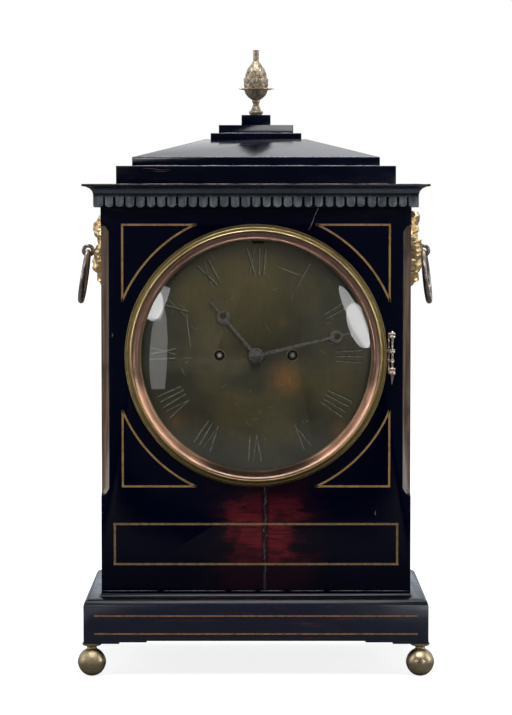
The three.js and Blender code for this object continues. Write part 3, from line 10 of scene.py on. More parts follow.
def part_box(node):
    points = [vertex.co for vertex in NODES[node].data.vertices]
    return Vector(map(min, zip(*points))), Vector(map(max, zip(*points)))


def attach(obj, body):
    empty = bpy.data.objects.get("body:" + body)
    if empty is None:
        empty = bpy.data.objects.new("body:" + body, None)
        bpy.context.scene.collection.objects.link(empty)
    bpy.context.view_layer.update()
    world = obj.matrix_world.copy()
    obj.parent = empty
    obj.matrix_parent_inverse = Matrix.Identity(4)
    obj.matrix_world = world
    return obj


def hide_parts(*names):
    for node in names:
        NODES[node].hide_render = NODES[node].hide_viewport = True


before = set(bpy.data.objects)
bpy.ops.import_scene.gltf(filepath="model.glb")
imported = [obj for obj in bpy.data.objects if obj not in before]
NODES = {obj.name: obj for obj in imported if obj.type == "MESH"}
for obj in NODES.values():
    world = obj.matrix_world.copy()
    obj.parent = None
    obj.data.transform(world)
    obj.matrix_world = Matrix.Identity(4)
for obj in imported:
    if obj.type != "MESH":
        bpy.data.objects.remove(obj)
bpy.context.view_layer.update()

MM = 0.001
chance = random.Random(11)
draw = chance.uniform

# Places in the frame, in millimetres: the dial's centre and face, and the faces of the case.
DIAL_Z = 270.0
DIAL_CENTRE = (0, 0, DIAL_Z)
DIAL_FACE = -74.0
FRONT = -77.9
SIDE = 130.5
BACK = 77.9
CRACK_X = 7.6


def corners(node):
    """The lowest and highest corner of a CAD node, in millimetres."""
    low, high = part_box(node)
    return [c / MM for c in low], [c / MM for c in high]


# ---------------- materials
MATERIALS = {}
BLACK, BLACK_WORN = (1, 3, 19), (10, 13, 30)
RED_WOOD, RED_DARK = (98, 28, 33), (34, 11, 20)
ORANGE, GOLDEN = (130, 82, 24), (86, 74, 34)
# The dial's stains: x and z from the frame, size in millimetres, strength and colour.
DIAL_STAINS = (
    (-10, 325, 44, 0.55, GOLDEN), (-54, 326, 22, 0.6, GOLDEN), (26, 250, 18, 0.72, ORANGE),
    (23, 298, 9, 0.3, ORANGE), (73, 207, 14, 0.4, ORANGE), (-68, 215, 14, 0.35, ORANGE),
)


def colour(r, g, b):
    """What a shader needs for a colour that a screen shows as r, g, b, each from 0 to 255."""
    return tuple(
        c / 255 / 12.92 if c < 10.3 else ((c / 255 + 0.055) / 1.055) ** 2.4 for c in (r, g, b)
    ) + (1.0,)


class Tree:
    """A node tree whose nodes take numbers, screen colours or other nodes' outputs."""

    def __init__(self, tree):
        self.tree = tree

    def put(self, socket, value):
        if isinstance(value, bpy.types.NodeSocket):
            self.tree.links.new(value, socket)
        elif socket.type == "RGBA" and len(value) == 3:
            socket.default_value = colour(*value)
        else:
            socket.default_value = value

    def node(self, kind, inputs=None, **settings):
        made = self.tree.nodes.new(kind)
        for key, value in settings.items():
            setattr(made, key, value)
        for key, value in (inputs or {}).items():
            self.put(made.inputs[key], value)
        return made

    def math(self, operation, a, b=0.0):
        return self.node("ShaderNodeMath", {0: a, 1: b}, operation=operation).outputs[0]

    def plus(self, a, b, share):
        """a with a share of b added."""
        return self.math("ADD", a, self.math("MULTIPLY", b, share))

    def product(self, *values):
        total = values[0]
        for value in values[1:]:
            total = self.math("MULTIPLY", total, value)
        return total

    def seen(self, paths):
        """1 where the camera looks straight at the place or through glass, 0 for other rays."""
        bounces = self.math("ADD", paths["Diffuse Depth"], paths["Glossy Depth"])
        through = self.product(paths["Is Transmission Ray"], self.math("LESS_THAN", bounces, 0.5))
        return self.math("MAXIMUM", paths["Is Camera Ray"], through)


class Finish(Tree):
    """A procedural material, kept in MATERIALS under its name."""

    def __init__(self, name, roughness=0.4, metallic=0.0):
        self.material = MATERIALS[name] = bpy.data.materials.new(name)
        self.material.use_nodes = True
        super().__init__(self.material.node_tree)
        self.shader = self.tree.nodes["Principled BSDF"]
        self.place = self.node("ShaderNodeTexCoord").outputs["Object"]
        self.x, self.y, self.z = self.node("ShaderNodeSeparateXYZ", {"Vector": self.place}).outputs
        self.give("Roughness", roughness)
        self.give("Metallic", metallic)

    def give(self, name, value):
        self.put(self.shader.inputs[name], value)

    def noise(self, scale, detail=4.0, rough=0.55, stretch=(1, 1, 1), shift=(0, 0, 0), bend=0.0):
        """Noise whose grains are about 1/scale metres across."""
        mapping = {"Vector": self.place, "Scale": stretch, "Location": shift}
        inputs = {
            "Vector": self.node("ShaderNodeMapping", mapping).outputs[0],
            "Scale": scale, "Detail": detail, "Roughness": rough, "Distortion": bend,
        }
        return self.node("ShaderNodeTexNoise", inputs).outputs["Fac"]

    def span(self, value, low, high, to_low=0.0, to_high=1.0):
        """value, eased from low..high to to_low..to_high."""
        inputs = {"Value": value, "From Min": low, "From Max": high}
        inputs.update({"To Min": to_low, "To Max": to_high})
        return self.node("ShaderNodeMapRange", inputs, interpolation_type="SMOOTHSTEP").outputs[0]

    def mix(self, share, a, b):
        return self.node("ShaderNodeMix", {0: share, 6: a, 7: b}, data_type="RGBA").outputs[2]

    def off(self, value, middle=0.0):
        """How far value lies from middle, either way."""
        return self.math("ABSOLUTE", self.math("SUBTRACT", value, middle))

    def within(self, value, low, high, edge):
        """1 between low and high, falling to 0 over edge outside."""
        rise = self.span(value, low - edge, low)
        return self.product(rise, self.span(value, high, high + edge, 1.0, 0.0))

    def from_point(self, x, z):
        """Distance from the line along Y through (x, z), in millimetres."""
        dx = self.math("SUBTRACT", self.x, x * MM)
        dz = self.math("SUBTRACT", self.z, z * MM)
        square = self.math("ADD", self.product(dx, dx), self.product(dz, dz))
        return self.math("DIVIDE", self.math("SQRT", square), MM)

    def facing(self, axis):
        """How far the surface's own normal points along an axis, from -1 to 1."""
        normal = self.node("ShaderNodeNewGeometry").outputs["True Normal"]
        return self.node("ShaderNodeSeparateXYZ", {"Vector": normal}).outputs[axis]

    def bump(self, *layers):
        """Layers of (height, distance in millimetres) on the shader's normal."""
        normal = None
        for height, depth in layers:
            inputs = {"Height": height, "Distance": depth * MM, "Strength": 1.0}
            if normal is not None:
                inputs["Normal"] = normal
            normal = self.node("ShaderNodeBump", inputs).outputs[0]
        self.give("Normal", normal)


def ebonised(name, wear=0.35, roughness=0.13):
    """Black polished wood with grain, dull and rubbed places and fine scratches."""
    f = Finish(name)
    broad = f.noise(18, 3, shift=(0.3, 0.1, 0.7))
    streaks = f.noise(90, 5, 0.6, stretch=(1, 8, 14), bend=0.4)
    rubbed = f.span(f.plus(broad, streaks, 0.5), 0.78, 1.0)
    f.base = f.mix(f.product(rubbed, wear), BLACK, BLACK_WORN)
    f.give("Base Color", f.base)
    dull = f.noise(45, 4, 0.6, stretch=(1, 2, 3), shift=(0.9, 0.2, 0.4))
    f.give("Roughness", f.span(dull, 0.3, 0.75, roughness * 0.8, roughness * 1.4))
    f.give("Specular IOR Level", 0.36)
    scratches = f.noise(700, 2, 0.5, stretch=(0.12, 1, 1), shift=(0.4, 0, 0))
    f.bump((streaks, 0.02), (broad, 0.25), (scratches, 0.004))
    return f


def brass(name, base, dark, roughness=0.3, metallic=1.0, mottle=120.0):
    """Old metal: patches of a darker skin, a brighter rubbed base, and small pits."""
    f = Finish(name, metallic=metallic)
    patches = f.noise(mottle, 5, 0.6, bend=0.6)
    pits = f.noise(900, 3, 0.6)
    f.base = f.mix(f.span(f.plus(patches, pits, 0.35), 0.5, 0.9), base, dark)
    f.give("Base Color", f.base)
    f.give("Roughness", f.span(patches, 0.3, 0.8, roughness * 0.75, roughness * 1.6))
    f.bump((patches, 0.8 / mottle), (pits, 0.008))
    return f


def front_wood():
    """The case front: brown canted corners, partly worn wood and partly a painted reflection, and
    red wood worn bare each side of the crack.
    """
    f = ebonised("ebonised_front", wear=0.3)
    streaks = f.noise(70, 6, 0.65, stretch=(0.5, 1, 10), shift=(0.2, 0, 0.31), bend=0.5)
    wide = f.noise(30, 4, 0.6, stretch=(1, 1, 2.2), shift=(0.61, 0, 0.2))
    blotch = f.noise(60, 3, 0.6, stretch=(0.8, 1, 1.6), shift=(0.17, 0, 0.9))
    off_crack = f.off(f.x, CRACK_X * MM)
    ragged = f.plus(off_crack, f.math("SUBTRACT", wide, 0.5), 0.06)
    ragged = f.plus(ragged, f.math("SUBTRACT", streaks, 0.5), 0.035)
    bare = f.product(
        f.span(ragged, 0.02, 0.036, 1.0, 0.0),
        f.within(f.z, 102 * MM, 146 * MM, 12 * MM),
        f.span(f.z, 126 * MM, 150 * MM, 1.0, 0.35),
        f.span(off_crack, 1.2 * MM, 4.5 * MM, 0.2, 1.0),
        f.span(blotch, 0.36, 0.56, 0.3, 1.0),
    )
    edge = f.span(ragged, 0.02, 0.06, 1.0, 0.0)
    edge = f.product(edge, f.within(f.z, 76 * MM, 165 * MM, 12 * MM))
    stain = f.mix(f.product(edge, 0.6), f.base, RED_DARK)
    worn = f.mix(f.product(bare, f.span(streaks, 0.3, 0.6, 0.35, 1.0)), stain, RED_WOOD)
    worn = f.mix(f.product(bare, f.span(streaks, 0.46, 0.36), 0.7), worn, RED_DARK)
    # The canted corners are painted brown: partly worn wood, partly a painted reflection.
    aslant = f.within(f.off(f.facing(0)), 0.55, 0.85, 0.08)
    rub = f.noise(26, 4, 0.6, stretch=(1, 1, 0.5), shift=(0.5, 0, 0.2))
    upright = f.noise(300, 4, 0.6, stretch=(1, 1, 0.06), shift=(0.5, 0, 0.7))
    brown = f.mix(f.span(upright, 0.3, 0.7), (70, 54, 44), (112, 94, 80))
    brown = f.mix(f.span(rub, 0.52, 0.7), brown, (58, 48, 44))
    f.give("Base Color", f.mix(aslant, worn, brown))
    f.give("Specular IOR Level", f.span(f.z, 70 * MM, 175 * MM, 0.08, 0.36))


def plinth_wood():
    """The plinth: a painted sheen of blue grey on its upright faces and painted shade on its top,
    and red streaks along the grain where the black is worn.
    """
    f = ebonised("ebonised_plinth", wear=1.0, roughness=0.2)
    streaks = f.noise(60, 6, 0.7, stretch=(0.35, 0.35, 12), shift=(0.13, 0, 0.5), bend=0.3)
    wide = f.noise(9, 2, 0.5, shift=(0.3, 0.2, 0.9))
    red = f.product(f.span(streaks, 0.56, 0.68), f.span(wide, 0.45, 0.6))
    upright = f.math("SUBTRACT", 1.0, f.span(f.facing(2), 0.3, 0.8))
    f.give("Specular IOR Level", 0.2)
    # Painted sheen: the upright faces are painted a lighter blue grey as a reflection, and the top
    # is painted near black as shade.
    painted_sheen = f.mix(f.product(upright, 0.55), f.mix(upright, (2, 2, 8), f.base), (38, 42, 54))
    f.give("Base Color", f.mix(f.product(red, 0.75), painted_sheen, (84, 30, 30)))


def carved_wood():
    """The dentils: the black rubbed to grey on the faces, partly wear and partly a painted sheen;
    black still in the gaps.
    """
    f = ebonised("ebonised_carved", wear=1.0, roughness=0.3)
    grain = f.noise(300, 3, 0.55, stretch=(1, 1, 0.3), shift=(0.2, 0.3, 0))
    cloud = f.noise(70, 3, 0.6, shift=(0.4, 0.3, 0.2))
    # The grey is partly wear and partly a painted sheen on the outer faces.
    grey = f.mix(f.span(grain, 0.3, 0.7), (76, 83, 89), (118, 124, 128))
    grey = f.mix(f.span(cloud, 0.45, 0.75), grey, (58, 62, 70))
    outer_y = f.span(f.off(f.y), 82.2 * MM, 83.2 * MM)
    outer_x = f.span(f.off(f.x), 134.8 * MM, 135.8 * MM)
    below = f.span(f.z, 403.2 * MM, 403.9 * MM, 1.0, 0.25)
    outward = f.product(f.math("MAXIMUM", outer_x, outer_y), below)
    f.give("Base Color", f.mix(outward, BLACK, grey))


def cornice_wood():
    """The cornice: black, with a painted sheen of blue grey, a painted reflection that thickens
    where the hollow turns out.
    """
    f = ebonised("ebonised_cornice", wear=1.0, roughness=0.24)
    cloud = f.noise(24, 3, 0.5, stretch=(0.5, 0.5, 3), shift=(0.2, 0.6, 0))
    # The painted sheen stands for the floor's reflection in the hollow.
    painted_sheen = f.product(
        f.span(f.z, 405.5 * MM, 407.0 * MM),
        f.span(f.z, 408.0 * MM, 411.5 * MM, 1.0, 0.25),
        f.span(cloud, 0.3, 0.7, 0.55, 1.0),
    )
    f.give("Base Color", f.mix(painted_sheen, f.base, (66, 72, 84)))


def oak_wood():
    f = Finish("oak", roughness=0.6)
    rings = f.noise(60, 6, 0.6, stretch=(0.3, 4, 4), bend=1.0)
    pores = f.noise(900, 2, 0.5, stretch=(0.15, 1, 1))
    base = f.mix(f.span(rings, 0.35, 0.7), (104, 72, 44), (62, 40, 24))
    f.give("Base Color", f.mix(f.span(pores, 0.6, 0.75), base, (44, 28, 18)))
    f.bump((rings, 0.15), (pores, 0.06))


def dial_brass():
    """The dial: olive-brown lacquered brass, greyer to the rim, with patches burnt orange."""
    f = Finish("dial_brass", metallic=0.2)
    cloud = f.noise(20, 4, 0.6, shift=(0.7, 0, 0.2), bend=0.4)
    fine = f.noise(300, 4, 0.65, stretch=(1, 1, 0.35), shift=(0.1, 0, 0.6))
    base = f.mix(f.span(cloud, 0.36, 0.64), (51, 49, 36), (73, 64, 36))
    rim = f.plus(f.from_point(0, DIAL_Z), cloud, 26.0)
    base = f.mix(f.span(rim, 92, 122), base, (56, 53, 46))
    for x, z, size, share, tone in DIAL_STAINS:
        spot = f.plus(f.from_point(x, z), cloud, 26.0)
        stained = f.product(f.span(spot, size * 0.6, size * 1.9, 1.0, 0.0), share)
        base = f.mix(stained, base, tone)
    base = f.mix(f.product(f.span(fine, 0.45, 0.75), 0.34), base, (42, 40, 30))
    f.give("Base Color", base)
    f.give("Roughness", f.span(cloud, 0.3, 0.8, 0.4, 0.55))
    f.bump((fine, 0.003), (cloud, 0.05))


def bezel_rim():
    """The bezel's outer moulding, browner low down where it slopes in to the glass: painted shade.
    """
    f = brass("bezel_brass", (178, 159, 114), (152, 134, 92), 0.42, 1.0, 60)
    # Painted shade on the upward slopes low on the bezel.
    low = f.product(f.span(f.z, 200 * MM, 172 * MM), f.span(f.facing(2), 0.0, 0.35))
    f.give("Base Color", f.mix(low, f.base, (112, 94, 66)))


def bezel_band():
    """The bezel's inner moulding: copper red, with a painted reflection bright low on each side and
    painted shade dull at its foot.
    """
    f = brass("inner_band", (180, 144, 128), (152, 118, 104), 0.38, 1.0, 60)
    aside = f.off(f.x)
    # Painted reflection low on each side, and painted shade at the foot.
    flank = f.product(f.span(f.z, 252 * MM, 236 * MM), f.span(aside, 30 * MM, 62 * MM))
    foot = f.product(f.span(f.z, 196 * MM, 172 * MM), f.span(aside, 62 * MM, 30 * MM))
    f.give("Base Color", f.mix(foot, f.mix(flank, f.base, (255, 206, 176)), (120, 98, 86)))


def red_silk():
    f = Finish("silk", roughness=0.7)
    threads = f.noise(1500, 2, 0.5, stretch=(1, 1, 0.1))
    folds = f.noise(20, 3, 0.5)
    weave = f.span(f.math("ADD", threads, folds), 0.8, 1.2)
    f.give("Base Color", f.mix(weave, (74, 22, 26), (44, 12, 18)))
    f.bump((threads, 0.05), (folds, 0.8))


def clear_glass(name, tint, smeared):
    """Glass that lets the lights through to what is behind it, a little unevenly tinted."""
    f = Finish(name, roughness=0.0)
    smear = f.noise(16, 3, 0.5, bend=0.8)
    f.give("Base Color", f.mix(f.span(smear, 0.4, 0.8), tint, smeared))
    f.give("Transmission Weight", 1.0)
    f.give("IOR", 1.47)
    shadow = f.node("ShaderNodeLightPath").outputs["Is Shadow Ray"]
    through = f.node("ShaderNodeBsdfTransparent", {"Color": tint}).outputs[0]
    both = f.node("ShaderNodeMixShader", {0: shadow, 1: f.shader.outputs[0], 2: through})
    f.put(f.tree.nodes["Material Output"].inputs["Surface"], both.outputs[0])


# Each metal's or mark's brighter and darker colour, roughness, metallic share and mottle.
METALS = {
    "stringing_brass": ((170, 136, 84), (124, 94, 56), 0.45, 0.4),
    "stringing_dark": ((142, 114, 78), (96, 76, 52), 0.46, 0.4, 220),
    "stringing_plinth": ((160, 114, 72), (108, 74, 50), 0.5, 0.3, 260),
    "foot_brass": ((180, 165, 134), (140, 126, 98), 0.4, 1.0, 60),
    "finial_brass": ((176, 162, 140), (104, 90, 72), 0.42, 0.6, 260),
    "gilt_brass": ((244, 216, 164), (214, 172, 110), 0.3, 1.0, 60),
    "ring_bronze": ((156, 149, 141), (118, 111, 104), 0.3, 0.9, 90),
    "hinge_brass": ((232, 216, 204), (172, 154, 138), 0.28, 1.0, 300),
    "butt_brass": ((200, 180, 138), (132, 114, 80), 0.32, 1.0, 260),
    "movement_brass": ((202, 166, 92), (150, 118, 60), 0.26, 1.0, 40),
    "bell_metal": ((190, 168, 112), (140, 120, 74), 0.22, 1.0, 50),
    "steel": ((150, 150, 152), (96, 94, 94), 0.3, 1.0, 90),
    "hand_steel": ((100, 95, 92), (62, 56, 54), 0.4, 0.3, 300),
    # The winding squares' steel is painted pale blue white: a painted highlight.
    "square_steel_highlight": ((214, 224, 238), (170, 180, 196), 0.35, 0.4, 300),
    "fret_brass": ((206, 172, 112), (146, 112, 62), 0.32, 1.0, 200),
    "rim_brass": ((128, 120, 92), (96, 90, 66), 0.35, 0.6, 200),
    "engraved_line": ((70, 52, 28), (46, 34, 20), 0.6, 0.3, 300),
    "numeral_wax": ((28, 27, 24), (46, 44, 36), 0.55, 0.0, 400),
    "numeral_flank": ((128, 126, 108), (84, 82, 66), 0.45, 0.4, 400),
    "scratch_bright": ((152, 148, 126), (110, 106, 90), 0.4, 0.4, 400),
    "crack_shadow": ((3, 3, 6), (10, 8, 12), 0.8, 0.0, 500),
    "crack_pale_bits": ((92, 96, 88), (40, 42, 42), 0.6, 0.0, 500),
    "crack_red": ((120, 100, 96), (72, 50, 50), 0.6, 0.0, 500),
    "edge_pale_highlight": ((162, 162, 168), (104, 102, 106), 0.6, 0.0, 300),
    "edge_grey_chip_and_highlight": ((84, 88, 94), (44, 46, 52), 0.6, 0.0, 300),
    "edge_warm": ((134, 120, 116), (86, 76, 74), 0.6, 0.0, 300),
    "red_mark": ((74, 34, 44), (44, 22, 32), 0.6, 0.0, 500),
}

for make in (
    front_wood, plinth_wood, carved_wood, cornice_wood, oak_wood, dial_brass,
    bezel_rim, bezel_band, red_silk,
):
    make()
ebonised("ebonised_case")
ebonised("ebonised_top", wear=0.5, roughness=0.15)
clear_glass("dial_glass", (0.96, 0.97, 0.96, 1), (0.92, 0.94, 0.94, 1))
clear_glass("door_glass", (0.95, 0.97, 0.96, 1), (0.9, 0.94, 0.93, 1))
for metal, looks in METALS.items():
    brass(metal, *looks)


# ---------------- shapes, in millimetres
class Shape:
    """Points and faces that several builders add to, for one object."""

    def __init__(self):
        self.points = []
        self.faces = []

    def add(self, points, faces):
        first = len(self.points)
        self.points += [tuple(p) for p in points]
        self.faces += [[first + i for i in face] for face in faces]

    def grid(self, rows, around=False, capped=False):
        """Rows of points, joined in order; around closes each row, capped closes the ends."""
        n, last = len(rows[0]), len(rows) - 1
        faces = []
        for j in range(last):
            for i in range(n if around else n - 1):
                k = (i + 1) % n
                faces.append([j * n + i, j * n + k, (j + 1) * n + k, (j + 1) * n + i])
        if capped:
            faces += [list(reversed(range(n))), [last * n + i for i in range(n)]]
        self.add([p for row in rows for p in row], faces)

    def lathe(self, profile, centre, axis="z", segments=192, ring=False, wave=None):
        """(radius, height) pairs turned round an axis; ring joins the last pair to the first."""
        rows = []
        for radius, height in list(profile) + ([profile[0]] if ring else []):
            row = []
            for i in range(segments):
                angle = tau * i / segments
                r, h = (radius, height) if wave is None else wave(radius, height, angle)
                c, s = r * cos(angle), r * sin(angle)
                spot = {"x": (h, c, s), "y": (s, h, c), "z": (c, s, h)}[axis]
                row.append([a + b for a, b in zip(centre, spot)])
            rows.append(row)
        self.grid(rows, around=True)

    def tube(self, path, radius, sides=10, closed=False):
        """A round wire along path; radius is one number or one for each point."""
        count = len(path)
        spots = [Vector(p) for p in path]
        rows = []
        side = None
        for i, spot in enumerate(spots):
            before = spots[i - 1] if i or closed else spot
            after = spots[(i + 1) % count] if i < count - 1 or closed else spot
            ahead = (after - before).normalized()
            if side is None:
                side = ahead.orthogonal()
            side = (side - ahead * side.dot(ahead)).normalized()
            up = ahead.cross(side)
            r = radius[i] if isinstance(radius, (list, tuple)) else radius
            turns = [tau * k / sides for k in range(sides)]
            rows.append([spot + side * (r * cos(t)) + up * (r * sin(t)) for t in turns])
        if closed:
            rows.append(rows[0])
        self.grid(rows, around=True, capped=not closed)

    def band(self, path, widths, y, rise, closed=False, sink=0.3, side=0):
        """A flat line on a face that looks along -Y, through (x, z) points, with a width at each.

        With side given it lies on the left (-1) or right (1) face, through (y, z) points.
        """
        count = len(path)
        rows = []
        for i, (x, z) in enumerate(path):
            before = path[i - 1] if i or closed else path[i]
            after = path[(i + 1) % count] if i < count - 1 or closed else path[i]
            first = Vector((x - before[0], z - before[1]))
            last = Vector((after[0] - x, after[1] - z))
            first = first.normalized() if first.length > 1e-6 else last.normalized()
            last = last.normalized() if last.length > 1e-6 else first
            ahead = (first + last).normalized()
            across = Vector((-ahead.y, ahead.x))
            half = widths[i] / 2 if isinstance(widths, (list, tuple)) else widths / 2
            half /= max(0.5, ahead.dot(first))
            left = (x - across.x * half, z - across.y * half)
            right = (x + across.x * half, z + across.y * half)
            row = [(left, y + sink), (left, y - rise), (right, y - rise), (right, y + sink)]
            if side:
                rows.append([(side * (2 * y - depth), *spot) for spot, depth in row])
            else:
                rows.append([(spot[0], depth, spot[1]) for spot, depth in row])
        if closed:
            rows.append(rows[0])
        self.grid(rows, around=True, capped=not closed)

    def screw(self, centre, radius, turn, height=0.5):
        """A slotted screw head that faces along Y, its slot at turn."""
        profile = [(radius, -0.3), (radius, height * 0.45)]
        shares = [k / 12 for k in range(12, -1, -1)]
        profile += [(radius * share, height * (1 - 0.55 * share**2)) for share in shares]

        def cut(r, h, angle):
            off_slot = abs(r * sin(angle - turn)) > radius * 0.16
            return r, h if off_slot or h < 0 else h - 0.3

        self.lathe(profile, centre, "y", 72, wave=cut)

    def block(self, low, high, bevel=0.0):
        """A box with its edges taken off by bevel."""
        (x0, y0, z0), (x1, y1, z1), b = low, high, bevel
        outline = [
            (x0 + b, y0), (x1 - b, y0), (x1, y0 + b), (x1, y1 - b),
            (x1 - b, y1), (x0 + b, y1), (x0, y1 - b), (x0, y0 + b),
        ]
        cx, cy = (x0 + x1) / 2, (y0 + y1) / 2
        inner = [(x + (b if x < cx else -b), y + (b if y < cy else -b)) for x, y in outline]
        levels = ((inner, z0), (outline, z0 + b), (outline, z1 - b), (inner, z1))
        self.grid([[(x, y, z) for x, y in ring] for ring, z in levels], around=True, capped=True)

    def piece(self, name, material, slot, *nodes, body="root", sharp=38):
        """The finished object on its body; it hides the CAD nodes that it stands for.

        It is smooth but for edges sharper than sharp degrees.
        """
        mesh = bpy.data.meshes.new(name)
        mesh.from_pydata([Vector(p) * MM for p in self.points], [], self.faces)
        mesh.validate()
        mesh.polygons.foreach_set("use_smooth", [True] * len(mesh.polygons))
        mesh.set_sharp_from_angle(angle=radians(sharp))
        mesh.materials.append(MATERIALS[material])
        obj = bpy.data.objects.new(name, mesh)
        bpy.context.scene.collection.objects.link(obj)
        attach(obj, body)
        if nodes:
            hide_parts(*nodes)
        return obj


# ---------------- the CAD nodes that stay
def smoothing(limit):
    """A node group that shades a mesh smooth but for edges sharper than limit degrees."""
    group = bpy.data.node_groups.new("smooth_by_angle", "GeometryNodeTree")
    for way in ("INPUT", "OUTPUT"):
        group.interface.new_socket("Geometry", in_out=way, socket_type="NodeSocketGeometry")
    tree = Tree(group)
    mesh = tree.node("NodeGroupInput").outputs[0]
    bend = tree.node("GeometryNodeInputMeshEdgeAngle").outputs[0]
    gentle = tree.node(
        "FunctionNodeCompare", {0: bend, 1: radians(limit)},
        data_type="FLOAT", operation="LESS_EQUAL",
    ).outputs[0]
    faces = tree.node("GeometryNodeSetShadeSmooth", {0: mesh}, domain="FACE").outputs[0]
    inputs = {0: faces, "Shade Smooth": gentle}
    edges = tree.node("GeometryNodeSetShadeSmooth", inputs, domain="EDGE").outputs[0]
    tree.put(tree.node("NodeGroupOutput").inputs[0], edges)
    return group


SMOOTHING = smoothing(32)


def dress(node, material, bevel=0.0, angle=30):
    """Give a CAD node its material, and take its sharp edges off where bevel is given."""
    obj = NODES[node]
    obj.data.materials.clear()
    obj.data.materials.append(MATERIALS[material])
    weld = obj.modifiers.new("weld", "WELD")
    weld.merge_threshold = 0.01 * MM
    if bevel:
        edges = obj.modifiers.new("edges", "BEVEL")
        edges.width = bevel * MM
        edges.segments = 3
        edges.limit_method = "ANGLE"
        edges.angle_limit = radians(angle)
        edges.harden_normals = True
        obj.data.polygons.foreach_set("use_smooth", [True] * len(obj.data.polygons))
    else:
        obj.modifiers.new("smooth", "NODES").node_group = SMOOTHING


for material, bevel, nodes in (
    ("ebonised_front", 0.4, "case_front"),
    ("ebonised_case", 0.5, "case_left_side case_right_side case_back_frame rear_door"),
    ("ebonised_top", 0.6, "top_tier top_pyramid top_step finial_block"),
    ("oak", 0.4, "seat_board"),
    ("butt_brass", 0.2, "rear_hinge_upper rear_hinge_lower door_leaf_upper door_leaf_lower"),
    ("door_glass", 0.0, "rear_door_glass"),
    ("movement_brass", 0.15, "front_plate back_plate back_cock going_barrel strike_barrel"),
    ("movement_brass", 0.0, "going_fusee strike_fusee centre_wheel third_wheel escape_wheel"),
    ("movement_brass", 0.0, "pin_wheel gathering_wheel hour_wheel minute_wheel pendulum"),
    ("steel", 0.1, "cannon_pinion anchor hammer bell_stand fly"),
    ("bell_metal", 0.0, "bell"),
    ("hand_steel", 0.22, "hour_hand minute_hand"),
    ("hand_steel", 0.0, "hand_collet"),
    ("dial_brass", 0.15, "dial_plate"),
):
    for node in nodes.split():
        dress(node, material, bevel)
dress("plinth", "ebonised_plinth", 0.7, 35)
dress("cornice", "ebonised_cornice", 0.4, 40)

# ---------------- brass lines let into the wood
LINE = 1.7
LINE_RISE = 0.07
ARC_RADIUS = 121.5
CORNER_X, LEG_END_X = 112.3, 50.1


def spandrel(side, height, corner_z, leg_end_z):
    """One corner's line: two straight legs, and an arc round the dial between their ends."""
    shape = Shape()
    legs = [(LEG_END_X, corner_z), (CORNER_X, corner_z), (CORNER_X, leg_end_z)]
    start = degrees(atan2(leg_end_z - DIAL_Z, CORNER_X))
    end = degrees(atan2(corner_z - DIAL_Z, LEG_END_X))
    turns = [radians(start + (end - start) * i / 64) for i in range(65)]
    curve = [(ARC_RADIUS * cos(t), DIAL_Z + ARC_RADIUS * sin(t)) for t in turns]
    for path in (legs, curve):
        shape.band([(side * x, z) for x, z in path], LINE, FRONT, LINE_RISE)
    hand = "right" if side > 0 else "left"
    shape.piece(f"stringing_{height}_{hand}", "stringing_brass", "aged_brass")


for side in (-1, 1):
    spandrel(side, "upper", 380.0, 315.5)
    spandrel(side, "lower", 159.6, 224.0)

# The rectangle low on the front: its level pieces run over the corners a little.
HALF, LOW, HIGH, WIDTH, OVERRUN = 119.2, 93.6, 127.6, 1.8, 1.2
rectangle = Shape()
for z in (LOW, HIGH):
    rectangle.band([(-HALF - OVERRUN, z), (HALF + OVERRUN, z)], WIDTH, FRONT, LINE_RISE)
for x in (-HALF, HALF):
    rectangle.band([(x, LOW + WIDTH / 2), (x, HIGH - WIDTH / 2)], WIDTH, FRONT, LINE_RISE)
rectangle.piece("stringing_lower", "stringing_dark", "aged_brass")

PLINTH_FACE = corners("plinth")[0][1]
for height, z in (("upper", 51.7), ("lower", 36.5)):
    line = Shape()
    line.band([(-136.0, z), (136.0, z)], 1.15, PLINTH_FACE, LINE_RISE)
    line.piece(f"stringing_plinth_{height}", "stringing_plinth", "aged_brass")

# ---------------- bezel, glass and dial
BEZEL_OUTER, BEZEL_WIDTH, BEZEL_HEIGHT, BEZEL_BACK = 110.5, 13.2, 6.3, -76.75
SIGHT = BEZEL_OUTER - BEZEL_WIDTH
# The faces of the bezel's two mouldings: shares of its width inwards and of its height.
RIM_FACE = [
    (0, 0), (0, 0.26), (0.014, 0.38), (0.04, 0.46), (0.072, 0.44), (0.09, 0.36), (0.104, 0.3),
    (0.13, 0.27), (0.18, 0.29), (0.235, 0.38), (0.27, 0.52), (0.29, 0.68), (0.31, 0.77),
    (0.34, 0.86), (0.38, 0.96), (0.415, 1), (0.45, 0.96), (0.475, 0.86), (0.49, 0.76),
    (0.5, 0.66),
]
BAND_FACE = [
    (0.5, 0.66), (0.515, 0.6), (0.53, 0.62), (0.55, 0.58), (0.6, 0.49), (0.66, 0.44),
    (0.76, 0.42), (0.84, 0.44), (0.88, 0.51), (0.91, 0.57), (0.95, 0.56), (0.985, 0.44), (1, 0.3),
]


def bezel_face(shares):
    return [(BEZEL_OUTER - w * BEZEL_WIDTH, FRONT - h * BEZEL_HEIGHT) for w, h in shares]


rim = bezel_face(RIM_FACE)
seam = rim[-1][0]
rim += [(seam, FRONT - 0.2), (101.5, FRONT - 0.2), (101.5, BEZEL_BACK), (103.0, FRONT)]
outer = Shape()
outer.lathe(rim, DIAL_CENTRE, "y", 288, ring=True)
outer.piece("bezel_ring", "bezel_brass", "aged_brass", "bezel", body="bezel", sharp=50)

band = bezel_face(BAND_FACE) + [(SIGHT, FRONT - 0.9), (99.0, FRONT - 0.7), (99, BEZEL_BACK)]
band += [(101.4, BEZEL_BACK), (101.4, FRONT - 0.2), (seam - 0.02, FRONT - 0.2)]
inner = Shape()
inner.lathe(band, DIAL_CENTRE, "y", 288, ring=True)
inner.piece("bezel_band", "inner_band", "aged_brass", "bezel", body="bezel", sharp=50)

